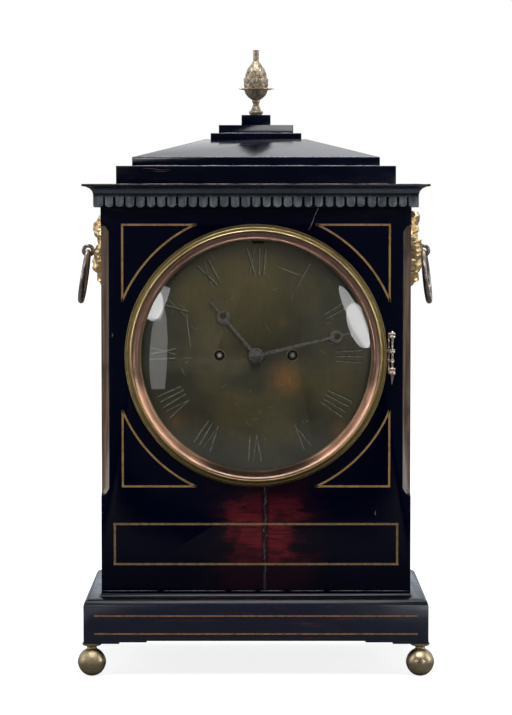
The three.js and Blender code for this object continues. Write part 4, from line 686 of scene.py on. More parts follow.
PIN_X, PIN_Y = 114.5, -81.5


def knuckle(shape, low, high, radius):
    """A rounded hinge knuckle on the pin, with a groove round its middle."""
    middle = (low + high) / 2
    profile = [
        (0, low), (radius * 0.7, low), (radius * 0.95, low + 0.4), (radius, low + 0.9),
        (radius, middle - 0.5), (radius * 0.84, middle), (radius, middle + 0.5),
        (radius, high - 0.9), (radius * 0.95, high - 0.4), (radius * 0.7, high), (0, high),
    ]
    shape.lathe(profile, (PIN_X, PIN_Y, 0), "z", 40)


moving = Shape()
knuckle(moving, 272.2, 275.9, 2.4)
knuckle(moving, 264.3, 267.0, 1.8)
# Two arms to the bezel, and the bar that joins them.
moving.block((109.4, PIN_Y - 0.9, 272.9), (PIN_X - 0.5, PIN_Y + 1.2, 275.3), 0.3)
moving.block((109.4, PIN_Y - 0.7, 264.7), (PIN_X - 0.5, PIN_Y + 1.2, 266.8), 0.3)
moving.block((111.0, PIN_Y + 0.8, 264.8), (112.0, PIN_Y + 1.8, 275.4), 0.2)
moving.piece("bezel_knuckle", "hinge_brass", "aged_brass", "bezel", body="bezel")

hinge = Shape()
knuckle(hinge, 284.6, 289.8, 2.5)
knuckle(hinge, 254.0, 260.2, 2.7)
for wire, radii in (  # the pin, its pointed tail and its head: off the pin's line, height, radius
    ([(0, 0, 253.6), (0, 0, 290.2)], [0.85, 0.85]),
    (
        [(0, 0, 254.5), (-0.1, 0, 251.5), (-0.3, 0.3, 248.5), (-0.4, 0.6, 245.8)],
        [1.7, 1.1, 0.6, 0.12],
    ),
    ([(0, 0, 289.3), (0, 0, 290.6), (0, 0, 291.2)], [1.2, 0.9, 0.15]),
):
    hinge.tube([(PIN_X + x, PIN_Y + y, z) for x, y, z in wire], radii, 20)
for low, high in ((255.0, 264.2), (276.2, 289.4)):  # side bars
    hinge.block((111.0, PIN_Y + 0.8, low), (112.0, PIN_Y + 1.8, high), 0.2)
for low, high in ((254.8, 259.4), (286.8, 289.6)):  # cross pieces
    hinge.block((110.9, PIN_Y - 0.9, low), (PIN_X, PIN_Y + 1.6, high), 0.5)
for z in (256.8, 287.2):  # feet on the case front
    hinge.block((PIN_X - 1.5, PIN_Y, z - 2.2), (PIN_X + 1.5, FRONT - 0.3, z + 2.2), 0.4)
hinge.piece("bezel_hinge_cast", "hinge_brass", "aged_brass", "bezel_hinge", sharp=50)

GLASS_RIM, GLASS_RISE, GLASS_CURVE = 98.7, 14.4, 370.2


def glass_face(radius):
    """Where the convex glass's face stands, by radius."""
    return FRONT - (GLASS_RISE - GLASS_CURVE + sqrt(GLASS_CURVE**2 - radius**2))


radii = [GLASS_RIM * sin(pi / 2 * i / 40) for i in range(41)]
face = [(r, glass_face(r)) for r in radii]
glass = Shape()
glass.lathe(face + [(r, y + 2.0) for r, y in reversed(face)], DIAL_CENTRE, "y", 256)
glass.piece("convex_glass", "dial_glass", "clear_glass", "bezel_glass", body="bezel", sharp=60)

lip = [(101.5, -76.4), (97.4, -76.4), (96.8, -76.1), (96.6, -75.6), (96.9, -74.9), (101.5, -74.9)]
sight = Shape()
sight.lathe(lip, DIAL_CENTRE, "y", 256, ring=True)
sight.piece("sight_band", "bezel_brass", "aged_brass", "sight_ring", body="bezel", sharp=50)

# A letter's strokes: from (across, up) to (across, up), and how heavy the stroke is.
STROKES = {
    "I": [(0, 0, 0, 1, 1)],
    "V": [(-1, 1, 0, 0, 1), (1, 1, 0, 0, 0.6)],
    "X": [(-1, 1, 1, 0, 1), (1, 1, -1, 0, 0.6)],
}
LETTER_WIDTHS = {"I": 4.6, "V": 8.6, "X": 8.6}
NUMERAL_IN, NUMERAL_OUT, NUMERAL_MIDDLE = 67.5, 89.5, 80
CUTS = 8


def numeral(dark, pale, word, hour):
    """A worn engraved numeral, its foot to the centre: dark lines with a pale flank to each."""
    turn = radians(90 - 30 * hour)
    out = Vector((cos(turn), sin(turn)))
    right = Vector((out.y, -out.x))
    start = -sum(LETTER_WIDTHS[letter] for letter in word) / 2
    for letter in word:
        width = LETTER_WIDTHS[letter]
        middle = start + width / 2
        start += width
        for x0, h0, x1, h1, weight in STROKES[letter]:
            ends = []
            for share, height in ((x0, h0), (x1, h1)):
                radius = NUMERAL_IN + (NUMERAL_OUT - NUMERAL_IN) * height
                across = (middle + share * width * 0.34) * radius / NUMERAL_MIDDLE
                ends.append(out * radius + right * across)
            wander = [draw(-0.18, 0.18) for _ in range(CUTS + 1)]
            line, flank, widths = [], [], []
            for i, aside in enumerate(wander):
                spot = ends[0].lerp(ends[1], i / CUTS)
                fade = 0.35 + 0.65 * min(1, 2.5 * abs(sin(i * 1.3 + hour + start)))
                x, z = spot.x + right.x * aside, DIAL_Z + spot.y + right.y * aside
                line.append((x, z))
                flank.append((x + right.x * 1.15 - 0.2, z + right.y * 1.15 + 0.3))
                widths.append(1.25 * weight * fade)
            dark.band(line, widths, DIAL_FACE, 0.03, sink=0.1)
            pale.band(flank, [w * 0.8 for w in widths], DIAL_FACE, 0.03, sink=0.1)


dark_lines, pale_lines = Shape(), Shape()
for hour, word in enumerate("XII I II III IIII V VI VII VIII IX X XI".split()):
    numeral(dark_lines, pale_lines, word, hour)
dark_lines.piece("dial_numerals", "numeral_wax", "dial_brass")
pale_lines.piece("dial_numeral_flanks", "numeral_flank", "dial_brass")

HOLE_X = 30.7
marks = Shape()
for path, widths in (
    ([(-58.3, 306), (-57.4, 296), (-56.1, 286), (-54.9, 276.5)], [0.2, 0.5, 0.5, 0.2]),
    ([(18.6, 344.5), (30, 340), (40.5, 336.3)], [0.3, 0.6, 0.2]),
):
    marks.band(path, widths, DIAL_FACE, 0.03, sink=0.1)
for _ in range(46):
    radius, angle = draw(12, 94), draw(0, tau)
    aim, length = draw(0, tau), draw(2, 9)
    x, z = radius * cos(angle), radius * sin(angle)
    end_x, end_z = x + length * cos(aim), z + length * sin(aim)
    if hypot(abs(x) - HOLE_X, z) < 16 or hypot(end_x, end_z) > 95:
        continue
    path = [(x, DIAL_Z + z), ((x + end_x) / 2, DIAL_Z + (z + end_z) / 2), (end_x, DIAL_Z + end_z)]
    marks.band(path, [0.08, 0.26, 0.08], DIAL_FACE, 0.02, sink=0.1)
marks.piece("dial_scratches", "scratch_bright", "dial_brass")

HOLE_RIM = [(4.4, -73.9), (4.4, -74.1), (4.6, -74.3), (4.95, -74.3), (5.15, -74.05), (5.15, -73.9)]
# The wells are a dark lining inside each winding hole: painted shade.
HOLE_WELL = [(4.38, -73.9), (4.38, -69.2), (2.6, -69.2), (2.6, -69), (4.6, -69), (4.6, -73.9)]
rims, wells = Shape(), Shape()
for x, body in ((-HOLE_X, "strike_fusee"), (HOLE_X, "going_fusee")):
    rims.lathe(HOLE_RIM, (x, 0, DIAL_Z), "y", 64, ring=True)
    wells.lathe(HOLE_WELL, (x, 0, DIAL_Z), "y", 64, ring=True)
    # A steel cap on each winding square, painted pale as a highlight.
    cap = Shape()
    cap.block((-1.5, -71.0, -1.5), (1.5, -70.2, 1.5), 0.35)
    cap.points = [
        (x + px * 0.8 - pz * 0.6, py, DIAL_Z + px * 0.6 + pz * 0.8) for px, py, pz in cap.points
    ]
    cap.piece(f"{body}_square", "square_steel_highlight", "steel", body=body)
rims.piece("winding_hole_rims", "rim_brass", "dial_brass")
wells.piece("winding_hole_wells", "crack_shadow", "dial_brass")

# ---------------- feet and finial
FOOT_PROFILE = [
    (0, 0), (3, 0.25), (5.6, 1.2), (8, 2.9), (10, 5.4), (11.2, 8), (11.85, 10.4),
    (12, 12), (11.7, 14.2), (10.8, 16.8), (9.3, 19.2), (7.6, 21), (5.8, 22.3), (4.5, 22.9),
    (4.1, 23.4), (4.1, 24.6), (5, 25.2), (7.2, 25.8), (8, 26.5), (8, 28), (0, 28),
]
for node in ("foot_front_left", "foot_front_right", "foot_back_left", "foot_back_right"):
    low, high = corners(node)
    foot = Shape()
    foot.lathe(FOOT_PROFILE, ((low[0] + high[0]) / 2, (low[1] + high[1]) / 2, low[2]), "z", 96)
    foot.piece(f"{node}_ball", "foot_brass", "aged_brass", node, sharp=50)

# The finial's cup and fruit: shares of its radius and height, and the rows of scales.
FINIAL_R, FINIAL_H = 15.6, 56.2
FINIAL_Z = corners("finial")[0][2]
CUP = [
    (0, 0), (0.32, 0), (0.34, 0.012), (0.38, 0.03), (0.4, 0.048), (0.38, 0.06), (0.3, 0.075),
    (0.255, 0.096), (0.24, 0.11), (0.2, 0.134), (0.17, 0.155), (0.165, 0.172), (0.175, 0.19),
    (0.205, 0.2), (0.22, 0.212), (0.205, 0.224), (0.215, 0.236), (0.33, 0.254), (0.43, 0.277),
    (0.51, 0.3), (0.57, 0.325), (0.61, 0.35), (0.635, 0.373), (0.65, 0.388), (0.8, 0.392),
    (0.86, 0.396), (0.86, 0.402), (0.8, 0.406), (0.66, 0.41),
]
FRUIT = [
    (0.41, 0.655), (0.45, 0.67), (0.497, 0.675), (0.54, 0.655), (0.574, 0.625), (0.62, 0.59),
    (0.67, 0.53), (0.72, 0.43), (0.765, 0.33), (0.8, 0.23), (0.825, 0.172), (0.85, 0.158),
    (1.0, 0.158),
]
SCALES_LOW, SCALES_HIGH, SCALE_ROW = 0.408, 0.86, 0.082
LEAVES = 14


def fruit_radius(share):
    """The pineapple's own radius, as a share of the finial's, by a share of its height."""
    for (h0, r0), (h1, r1) in zip(FRUIT, FRUIT[1:]):
        if share <= h1:
            return r0 + (r1 - r0) * max(0.0, (share - h0) / (h1 - h0))
    return FRUIT[-1][1]


def fruit_wave(radius, height, angle):
    """Overlapping upright scales: each row a half scale round from the one below."""
    share = (height - FINIAL_Z) / FINIAL_H
    if not SCALES_LOW <= share <= SCALES_HIGH:
        return radius, height
    step, t = divmod((share - SCALES_LOW) / SCALE_ROW, 1)
    across = abs((angle * 8 / tau + 0.5 * (step % 2)) % 1 - 0.5) * 2
    tip = 1.0 - across**1.6 * 0.7
    rise = (0.3 + 0.7 * t) * (1 - across**2.5) if t < tip else 0.12
    vein = 0.16 * cos(across * 12) * rise
    return radius + (1.25 * rise + vein - 0.7) * (radius / 9.5), height


finial = Shape()
profile = [(r * FINIAL_R, FINIAL_Z + h * FINIAL_H) for r, h in CUP]
shares = [0.41 + 0.585 * i / 149 for i in range(1, 150)]
profile += [(fruit_radius(h) * FINIAL_R, FINIAL_Z + h * FINIAL_H) for h in shares]
profile += [(r, FINIAL_Z + FINIAL_H - down) for r, down in ((2.1, 0), (1.2, 0.5), (0, 0.6))]
finial.lathe(profile, (0, 0, 0), "z", 216, wave=fruit_wave)
for i in range(LEAVES):
    angle = tau * (i + 0.5) / LEAVES
    long = 1.0 if i in (0, LEAVES - 1) else draw(0.85, 1.0)
    out = Vector((cos(angle), sin(angle), 0))
    aside = Vector((-out.y, out.x, 0))
    rows = []
    for j in range(8):
        t = j / 7
        half = aside * (2.9 * (1 - t) ** 0.8 + 0.12)
        rise = FINIAL_Z + FINIAL_H * 0.398 + 0.5 * sin(3 * t) + 0.3 * t
        reach = (0.62 + 0.38 * long * t) * FINIAL_R
        middle = out * reach + Vector((0, 0, rise))
        thick = Vector((0, 0, 0.3 - 0.12 * t))
        rows.append(
            [middle - half - thick, middle + thick * 1.8, middle + half - thick, middle - thick * 2]
        )
    finial.grid(rows, around=True, capped=True)
finial.piece("pineapple_finial", "finial_brass", "bronze", "finial", sharp=60)

# ---------------- lion masks, their eyes and rings
MASK_LOW, MASK_HALF = 325.0, 26.0
MASK_TALL, MASK_WIDE = 150, 90
MASK_WIDTHS = [
    (0, 0.24), (0.05, 0.4), (0.13, 0.52), (0.22, 0.64), (0.3, 0.74), (0.36, 0.82), (0.6, 0.94),
    (0.67, 1), (0.76, 0.98), (0.9, 0.78), (1, 0.42),
]
# Each mask's height, reach and ribbing in millimetres, and its depth by height, both as shares.
MASKS = {
    "left": (63.7, 11.2, 0.6, [
        (0, 0.2), (0.065, 0.4), (0.1, 0.55), (0.178, 0.74), (0.27, 0.86), (0.38, 0.86),
        (0.43, 0.72), (0.5, 0.74), (0.56, 0.62), (0.615, 0.46), (0.67, 0.46), (0.72, 0.76),
        (0.8, 0.88), (0.87, 0.84), (0.92, 0.56), (0.97, 0.48), (1, 0.3),
    ]),
    "right": (66.4, 12.4, 0.9, [
        (0, 0.25), (0.05, 0.5), (0.1, 0.8), (0.18, 0.94), (0.24, 0.86), (0.3, 0.96), (0.36, 0.92),
        (0.42, 1.02), (0.6, 1), (0.64, 0.92), (0.675, 0.62), (0.71, 0.66), (0.75, 0.82),
        (0.82, 0.74), (0.88, 0.84), (0.95, 0.88), (0.985, 0.82), (1, 0.66),
    ]),
}
# The face's features: height in millimetres, place across and up, size across and up, and how
# much a feature climbs away from the middle.
FEATURES = [
    (2.5, 0.19, 0.265, 0.15, 0.062, 0),  # muzzle
    (1.9, 0, 0.1, 0.2, 0.036, 0),  # chin
    (-2.4, 0, 0.172, 0.3, 0.02, 0.08),  # mouth
    (-1.2, 0, 0.26, 0.03, 0.05, 0),  # cleft lip
    (2.2, 0, 0.45, 0.14, 0.1, 0),  # bridge of the nose
    (1.9, 0, 0.352, 0.15, 0.026, -0.1),  # nose
    (-1.4, 0.095, 0.338, 0.035, 0.012, 0),  # nostrils
    (-1.9, 0.25, 0.43, 0.1, 0.04, 0.2),  # eye sockets
    (1.5, 0.25, 0.422, 0.05, 0.02, 0.2),  # eyes
    (2.2, 0.2, 0.43, 0.17, 0.034, 0.45),  # brows
    (-1.1, 0, 0.585, 0.12, 0.012, 0.5),  # furrow of the forehead
    (-1.6, 0.43, 0.32, 0.08, 0.09, 0),  # hollow cheeks
    (2.4, 0.56, 0.655, 0.12, 0.05, 0), (-2.6, 0.56, 0.648, 0.055, 0.024, 0),  # ears
]
for row in (0.215, 0.25, 0.285):  # where the whiskers grow
    FEATURES += [(-0.5, 0.2, row, 0.022, 0.007, 0), (-0.5, 0.29, row, 0.022, 0.007, 0)]


def ease(low, high, value):
    """0 at low, 1 at high, with a soft start and end; low may be the greater."""
    t = min(1.0, max(0.0, (value - low) / (high - low)))
    return t * t * (3 - 2 * t)


def eased_along(table, share):
    """The value that a table of (share, value) eases to at share."""
    for (h0, v0), (h1, v1) in zip(table, table[1:]):
        if share <= h1:
            return v0 + (v1 - v0) * ease(h0, h1, share)
    return table[-1][1]


def mask_relief(s, t, ribbing):
    """What stands on the mask's plain form, s across and t up: the face and its mane."""
    a = abs(s)
    relief = 0.0
    for height, at_s, at_t, wide_s, wide_t, climb in FEATURES:
        up = t - climb * a
        relief += height * exp(-(((a - at_s) / wide_s) ** 2) - ((up - at_t) / wide_t) ** 2)
    turn, reach = atan2(s, (t - 0.4) * 1.5), hypot(s, (t - 0.4) * 1.5)
    lock = sin(turn * 11 + 2.0 * sin(reach * 7)) * ease(1.05, 0.6, a)
    strand = sin(turn * 33 + 5.0 * sin(reach * 7)) * ease(0.8, 0.55, a)
    relief += ease(0.46, 0.58, reach) * (1.2 * lock + 0.45 * strand)
    flank = ease(0.5, 0.7, a) * ease(0.27, 0.34, t)
    return relief + ribbing * flank * sin((t - 0.35 + 0.06 * (a - 0.5)) * 97)


def lion_mask(side, hand):
    height, mask_reach, ribbing, depths = MASKS[hand]
    base = SIDE - 0.4
    rows = []
    for j in range(MASK_TALL + 1):
        share = j / MASK_TALL
        width, depth = eased_along(MASK_WIDTHS, share), eased_along(depths, share)
        ends = ease(0.0, 0.02, share) * ease(1.0, 0.98, share)
        row = []
        for i in range(MASK_WIDE + 1):
            u = sin(pi / 2 * (-1 + 2 * i / MASK_WIDE))
            dome = max(0.0, 1 - u * u) ** 0.42
            lift = mask_reach * depth * (0.45 + 0.55 * dome) * min(1, dome * 3)
            lift += mask_relief(width * u, share, ribbing) * min(1, dome * 1.6) * ends
            x = side * (base + max(0.2, lift))
            row.append((x, MASK_HALF * width * u, MASK_LOW + height * share))
        rows.append(row)
    shape = Shape()
    shape.grid(rows)
    for edge in (rows[0], rows[-1], [row[0] for row in rows], [row[-1] for row in rows]):
        shape.grid([edge, [(side * base, y, z) for x, y, z in edge]])
    name = f"lion_mask_{hand}"
    shape.piece(f"{name}_cast", "gilt_brass", "gilt_brass", name, sharp=70)


EYE_X, EYE_Z, EYE_RADIUS, EYE_WIRE = 145.7, 357.0, 4.05, 1.75
EYE_SHANK = [
    (0, 134), (3.1, 134), (3.3, 135.6), (2.6, 136.6), (1.7, 137.2), (1.9, 138.2),
    (1.4, 139.4), (1.3, 141), (0, 141),
]
RING_ACROSS, RING_HALF = 21.6, 21.0


def circle(count):
    return [tau * i / count for i in range(count)]


def ring_eye(side, hand):
    eye = Shape()
    loop = [
        (side * EYE_X + EYE_RADIUS * cos(t), 0, EYE_Z + EYE_RADIUS * sin(t))
        for t in circle(48)
    ]
    eye.tube(loop, EYE_WIRE, 24, closed=True)
    eye.lathe([(r, side * h) for r, h in EYE_SHANK], (0, 0, EYE_Z), "x", 40)
    name = f"ring_eye_{hand}"
    eye.piece(f"{name}_turned", "ring_bronze", "bronze", name, sharp=60)


def ring(side, hand, lean, yaw):
    """A ring handle, thicker at its foot, leaning out and turned a little, in degrees."""
    lean, yaw, name = radians(lean), radians(yaw), f"ring_{hand}"
    low, high = corners(name)
    top = (low[2] + high[2]) / 2 + 20.5 * cos(radians(7))
    loop, wires = [], []
    for turn in circle(144):
        reach = RING_ACROSS * (1 + cos(turn))
        aside = RING_HALF * sin(turn)
        out = side * (EYE_X + reach * sin(lean)) + aside * sin(yaw)
        y = (low[1] + high[1]) / 2 + aside * cos(yaw)
        loop.append((out, y, top - reach * cos(lean)))
        wires.append(1.95 + 0.6 * (0.5 + 0.5 * cos(turn)) ** 0.7)
    shape = Shape()
    shape.tube(loop, wires, 24, closed=True)
    shape.piece(f"{name}_drawn", "ring_bronze", "bronze", name, body=name, sharp=60)


for side, hand, lean, yaw in ((-1, "left", 8.5, 0), (1, "right", 6.5, 7)):
    lion_mask(side, hand)
    ring_eye(side, hand)
    ring(side, hand, lean, yaw)

# ---------------- dentils
BAND_X, BAND_Y, BAND_LOW, BAND_HIGH = 136.3, 83.7, 394.5, 405.3
DENTIL_PITCH, DENTIL_TOP, DENTIL_FOOT = 8.8, 403.6, 2.6
dentils = Shape()
x, y = BAND_X - 3.0, BAND_Y - 3.0
dentils.block((-x, -y, BAND_LOW), (x, y, BAND_HIGH), 0.1)
rows = []
for out, z in (
    (3.2, 403.4), (0.5, 403.4), (0.05, 403.8), (0, 404.4), (0.05, 405), (0.4, 405.3),
    (3.2, 405.3),
):
    x, y = BAND_X - out, BAND_Y - out
    rows.append([(-x, -y, z), (x, -y, z), (x, y, z), (-x, y, z)])
dentils.grid(rows, around=True)


def dentil(point, ahead, outward, width, bottom):
    """One tooth with a rounded foot: point is the middle of its foot line on the face."""
    half, knee = width / 2, bottom + DENTIL_FOOT
    turns = [pi * k / 10 for k in range(1, 10)]
    outline = [(-half, DENTIL_TOP), (-half, knee)]
    outline += [(-half * cos(t), knee - DENTIL_FOOT * sin(t)) for t in turns]
    outline += [(half, knee), (half, DENTIL_TOP)]
    rows = []
    for depth, inset in ((-3.2, 0), (-0.7, 0), (-0.25, 0.15), (-0.02, 0.55), (0.0, 1.0)):
        row = []
        for s, z in outline:
            shrink = max(0.0, half - inset) / half
            spot = point + ahead * (s * shrink) + outward * depth
            lift = inset if z < bottom + 1.6 else 0.0
            row.append((spot.x, spot.y, min(z + lift * 0.8, DENTIL_TOP)))
        rows.append(row)
    first, n, last = len(dentils.points), len(outline), len(rows) - 1
    dentils.grid(rows)
    front = [first + last * n + i for i in range(n)]
    starts = [first + j * n for j in range(last + 1)]
    dentils.faces += [front, starts + [start + n - 1 for start in reversed(starts)]]


for ahead, outward, half_run, distance in (
    ((1, 0, 0), (0, -1, 0), BAND_X, BAND_Y), ((-1, 0, 0), (0, 1, 0), BAND_X, BAND_Y),
    ((0, 1, 0), (1, 0, 0), BAND_Y, BAND_X), ((0, -1, 0), (-1, 0, 0), BAND_Y, BAND_X),
):
    ahead, outward = Vector(ahead), Vector(outward)
    count = int(round(2 * half_run / DENTIL_PITCH))
    pitch = 2 * half_run / count
    for i in range(count):
        middle = -half_run + pitch * (i + 0.5) + draw(-0.25, 0.25)
        width = pitch * draw(0.72, 0.82)
        if i in (0, count - 1):
            middle, width = -half_run + pitch * (i + 0.5), pitch * 0.96
        point = outward * distance + ahead * middle
        dentil(point, ahead, outward, width, BAND_LOW + draw(0.0, 0.5))
dentils.piece("dentils_cut", "ebonised_carved", "ebonised_wood", "dentil_band", sharp=40)

# ---------------- side frets and their silk
ARCH_HALF, ARCH_LOW, ARCH_SPRING, ARCH_TOP = 38.0, 150.0, 242.0, 280.0
FRET_X, SILK_X = 126.1, 123.4
SCALE_R = 4.75


def in_arch(y, z, spare):
    """Whether a point lies within the fret's arched opening, spare millimetres more."""
    half, rise = ARCH_HALF + spare, ARCH_TOP - ARCH_SPRING + spare
    if z < ARCH_LOW - spare or abs(y) > half:
        return False
    return z <= ARCH_SPRING or hypot(y / half, (z - ARCH_SPRING) / rise) <= 1


def arch_path(spare):
    """The arched opening's outline, spare millimetres out, as (y, z) points."""
    half, rise = ARCH_HALF + spare, ARCH_TOP - ARCH_SPRING + spare
    turns = [pi * k / 48 for k in range(49)]
    path = [(-half, ARCH_LOW - spare), (half, ARCH_LOW - spare)]
    return path + [(half * cos(t), ARCH_SPRING + rise * sin(t)) for t in turns]


for side, hand in ((-1, "left"), (1, "right")):
    low, high = corners(f"side_fret_{hand}")
    fret = Shape()
    row, z = 0, ARCH_LOW - SCALE_R
    while z < ARCH_TOP + SCALE_R:
        for column in range(-9, 10):
            y = (column + 0.5 * (row % 2)) * 2 * SCALE_R
            turns = [pi * k / 20 for k in range(21)]
            points = [(y - SCALE_R * cos(t), z + SCALE_R * sin(t)) for t in turns]
            kept = [p for p in points if in_arch(p[0], p[1], 1.2)]
            if len(kept) > 2:
                fret.band(kept, 0.95, FRET_X, 0.4 - 0.05 * (row % 2), sink=0.9, side=side)
            if in_arch(y, z + SCALE_R * 0.5, 0.2):
                stud = [(0, side * 0.35), (0.55, side * 0.3), (0.8, 0), (0.8, -side * 0.6)]
                fret.lathe(stud, (side * FRET_X, y, z + SCALE_R * 0.42), "x", 14)
        z += SCALE_R
        row += 1
    fret.band(arch_path(1.0), 3.4, FRET_X, 0.45, closed=True, sink=0.95, side=side)
    fret.piece(f"side_fret_{hand}_sawn", "fret_brass", "gilt_brass", f"side_fret_{hand}")
    bead = Shape()
    bead.tube([(side * (SIDE - 0.2), y, z) for y, z in arch_path(0.3)], 0.9, 12, closed=True)
    bead.piece(f"side_bead_{hand}", "stringing_brass", "aged_brass")
    silk = Shape()
    rows = []
    for j in range(81):
        z = low[2] + 1 + (high[2] - low[2] - 2) * j / 80
        half = min(high[1] - 1, ARCH_HALF + 4)
        if z > ARCH_SPRING:
            rise = min(1.0, (z - ARCH_SPRING) / (ARCH_TOP + 4 - ARCH_SPRING))
            half *= sqrt(max(0.0, 1 - rise * rise)) * 0.98 + 0.02
        waves = [SILK_X + 0.2 * sin(i * 1.1 + j * 0.13) for i in range(61)]
        rows.append([(side * x, half * (-1 + 2 * i / 60), z) for i, x in enumerate(waves)])
    silk.grid(rows)
    silk.grid([[(px - side * 0.3, py, pz) for px, py, pz in reversed(row)] for row in rows])
    obj = silk.piece(f"side_silk_{hand}", "silk", "oak")

# ---------------- rear door and hinge screws
LEAF_FACE = BACK + 1.2
SIGHT_HALF, SIGHT_LOW, SIGHT_HIGH = 71.0, 129.0, 351.0
moulding = Shape()
for inset, y, radius in ((0.6, BACK + 0.1, 1.1), (2.6, BACK - 0.1, 0.6)):
    half, low, high = SIGHT_HALF + inset, SIGHT_LOW - inset, SIGHT_HIGH + inset
    loop = [(-half, y, low), (half, y, low), (half, y, high), (-half, y, high)]
    for start, end in zip(loop, loop[1:] + loop[:1]):
        moulding.tube([start, end], radius, 16)
    knob = [(0, -radius), (radius, -radius * 0.3), (radius, radius * 0.3), (0, radius)]
    for corner in loop:
        moulding.lathe(knob, corner, "y", 16)
moulding.piece("rear_door_moulding", "stringing_brass", "aged_brass", body="rear_door")

LOCK_X, LOCK_Z = 80.3, 240.0
outline = [
    (4.4 * cos(t), 8.0 * sin(t) * (1 + 0.12 * cos(2 * t))) for t in circle(48)
]
rows = []
for scale, y in ((0.98, BACK - 0.1), (1.0, BACK + 0.5), (0.94, BACK + 0.8), (0.3, BACK + 0.85)):
    rows.append([(LOCK_X + px * scale, y, LOCK_Z + pz * scale) for px, pz in outline])
lock = Shape()
lock.grid(rows, around=True)
lock.piece("rear_escutcheon", "butt_brass", "aged_brass", body="rear_door")
turns = [radians(-60 + 300 * k / 20) for k in range(21)]
outline = [(1.25 * cos(t), 1.5 + 1.25 * sin(t)) for t in turns]
outline += [(-0.9, -3.2), (0.9, -3.2)]
# The keyhole is a dark plate in the hole: painted shade.
keyhole = Shape()
for y in (BACK + 0.92, BACK + 0.7):
    keyhole.add([(LOCK_X + px, y, LOCK_Z + pz) for px, pz in outline], [range(len(outline))])
keyhole.piece("rear_keyhole", "crack_shadow", "aged_brass", body="rear_door")

fixed, moving = Shape(), Shape()
for middle in (338.0, 142.0):
    for z in (middle - 10, middle, middle + 10):
        fixed.screw((-99.5, LEAF_FACE, z), 1.7, draw(0, 3))
        moving.screw((-80.5, LEAF_FACE, z), 1.7, draw(0, 3))
fixed.piece("rear_hinge_screws", "steel", "steel", sharp=50)
moving.piece("rear_leaf_screws", "steel", "steel", body="rear_door", sharp=50)

# ---------------- engraving on the back plate
plate_low, plate_high = corners("back_plate")
PLATE_Z = (plate_low[2] + plate_high[2]) / 2
engraving = Shape()


def engrave(path, width):
    """A cut line on the plate's back, drawn both sides of its middle."""
    for side in (-1, 1):
        line = [(side * x, z) for x, z in path]
        engraving.band(line, width, plate_high[1], -0.02, sink=-0.005)


for inset in (3.0, 4.4):
    x, low, high = plate_high[0] - inset, plate_low[2] + inset, plate_high[2] - inset
    engrave([(0, low), (x, low), (x, high), (0, high)], 0.35)
low, high = plate_low[2] + 6, plate_high[2] - 6
for x, z, size, hand in (
    (26, -56, 17, 1), (42, -28, 13, -1), (30, 2, 15, 1), (42, 32, 12, -1), (26, 58, 15, 1),
):
    spiral = []
    for k in range(70):
        turn, reach = hand * k * 0.17 + x, size * exp(-k * 0.035)
        px, pz = x + reach * cos(turn), PLATE_Z + z + reach * sin(turn)
        spiral.append((min(max(px, 1.0), 58.0), min(max(pz, low), high)))
    engrave(spiral, [0.12 + 0.55 * sin(pi * k / 69) for k in range(70)])
engraving.piece("back_plate_engraving", "engraved_line", "movement_brass")

# ---------------- worn edges, cracks and chips
TIER_FRONT = corners("top_tier")[0][1]


def edge_line(name, z, x, y, radius, material, gaps=0.1):
    """A pale line round a moulding, broken into runs: partly a worn arris, partly a painted
    highlight along the edge.
    """
    shape = Shape()
    loop = [(-x, -y), (x, -y), (x, y), (-x, y)]
    for (x0, y0), (x1, y1) in zip(loop, loop[1:] + loop[:1]):
        length = hypot(x1 - x0, y1 - y0)
        at = 0.0
        while at < length - 1:
            run = min(length - at, draw(14, 60))
            path = []
            for k in range(7):
                t = (at + run * k / 6) / length
                height = z + draw(-0.06, 0.06)
                path.append((x0 + (x1 - x0) * t, y0 + (y1 - y0) * t, height))
            swell = [radius * (0.35 + 0.65 * sin(pi * k / 6) ** 0.5) for k in range(7)]
            shape.tube(path, swell, 8)
            at += run + (draw(0, 6) if chance.random() < gaps * 3 else 0.2)
    shape.piece(name, material, "ebonised_wood")


# The pale lines at the slab's, pyramid's and step's feet and the grey line at the body's foot are
# painted highlights along those edges.
edge_line("edge_slab_foot", 429.7, 105.0, 52.4, 0.42, "edge_pale_highlight")
edge_line("edge_pyramid_foot", 437.2, 104.6, 52.0, 0.3, "edge_pale_highlight", 0.4)
edge_line("edge_cornice_top", 413.9, 145.2, 92.6, 0.4, "edge_warm", 0.5)
edge_line("edge_step_foot", 458.2, 32.0, 17.0, 0.34, "edge_pale_highlight")
edge_line("edge_body_foot", 70.9, 130.7, 78.1, 0.4, "edge_grey_chip_and_highlight", 0.3)

CRACK_PATH = [
    (7.8, 160), (7.9, 152), (8.6, 146), (7.4, 144), (7.7, 132), (7.2, 122),
    (8.4, 118.4), (7.5, 116), (7.6, 100), (7.3, 86), (7.6, 71.5),
]
WIDE_CRACK = []
for (x0, z0), (x1, z1) in zip(CRACK_PATH, CRACK_PATH[1:]):
    for t in (0, 0.2, 0.4, 0.6, 0.8):
        WIDE_CRACK.append((x0 + (x1 - x0) * t + draw(-0.35, 0.35), z0 + (z1 - z0) * t))
WIDE_CRACK.append(CRACK_PATH[-1])
crack = Shape()
crack.band(WIDE_CRACK, [draw(1.0, 2.4) for _ in WIDE_CRACK], FRONT, 0.03)
crack.piece("crack_lower_shadow", "crack_shadow", "ebonised_wood")
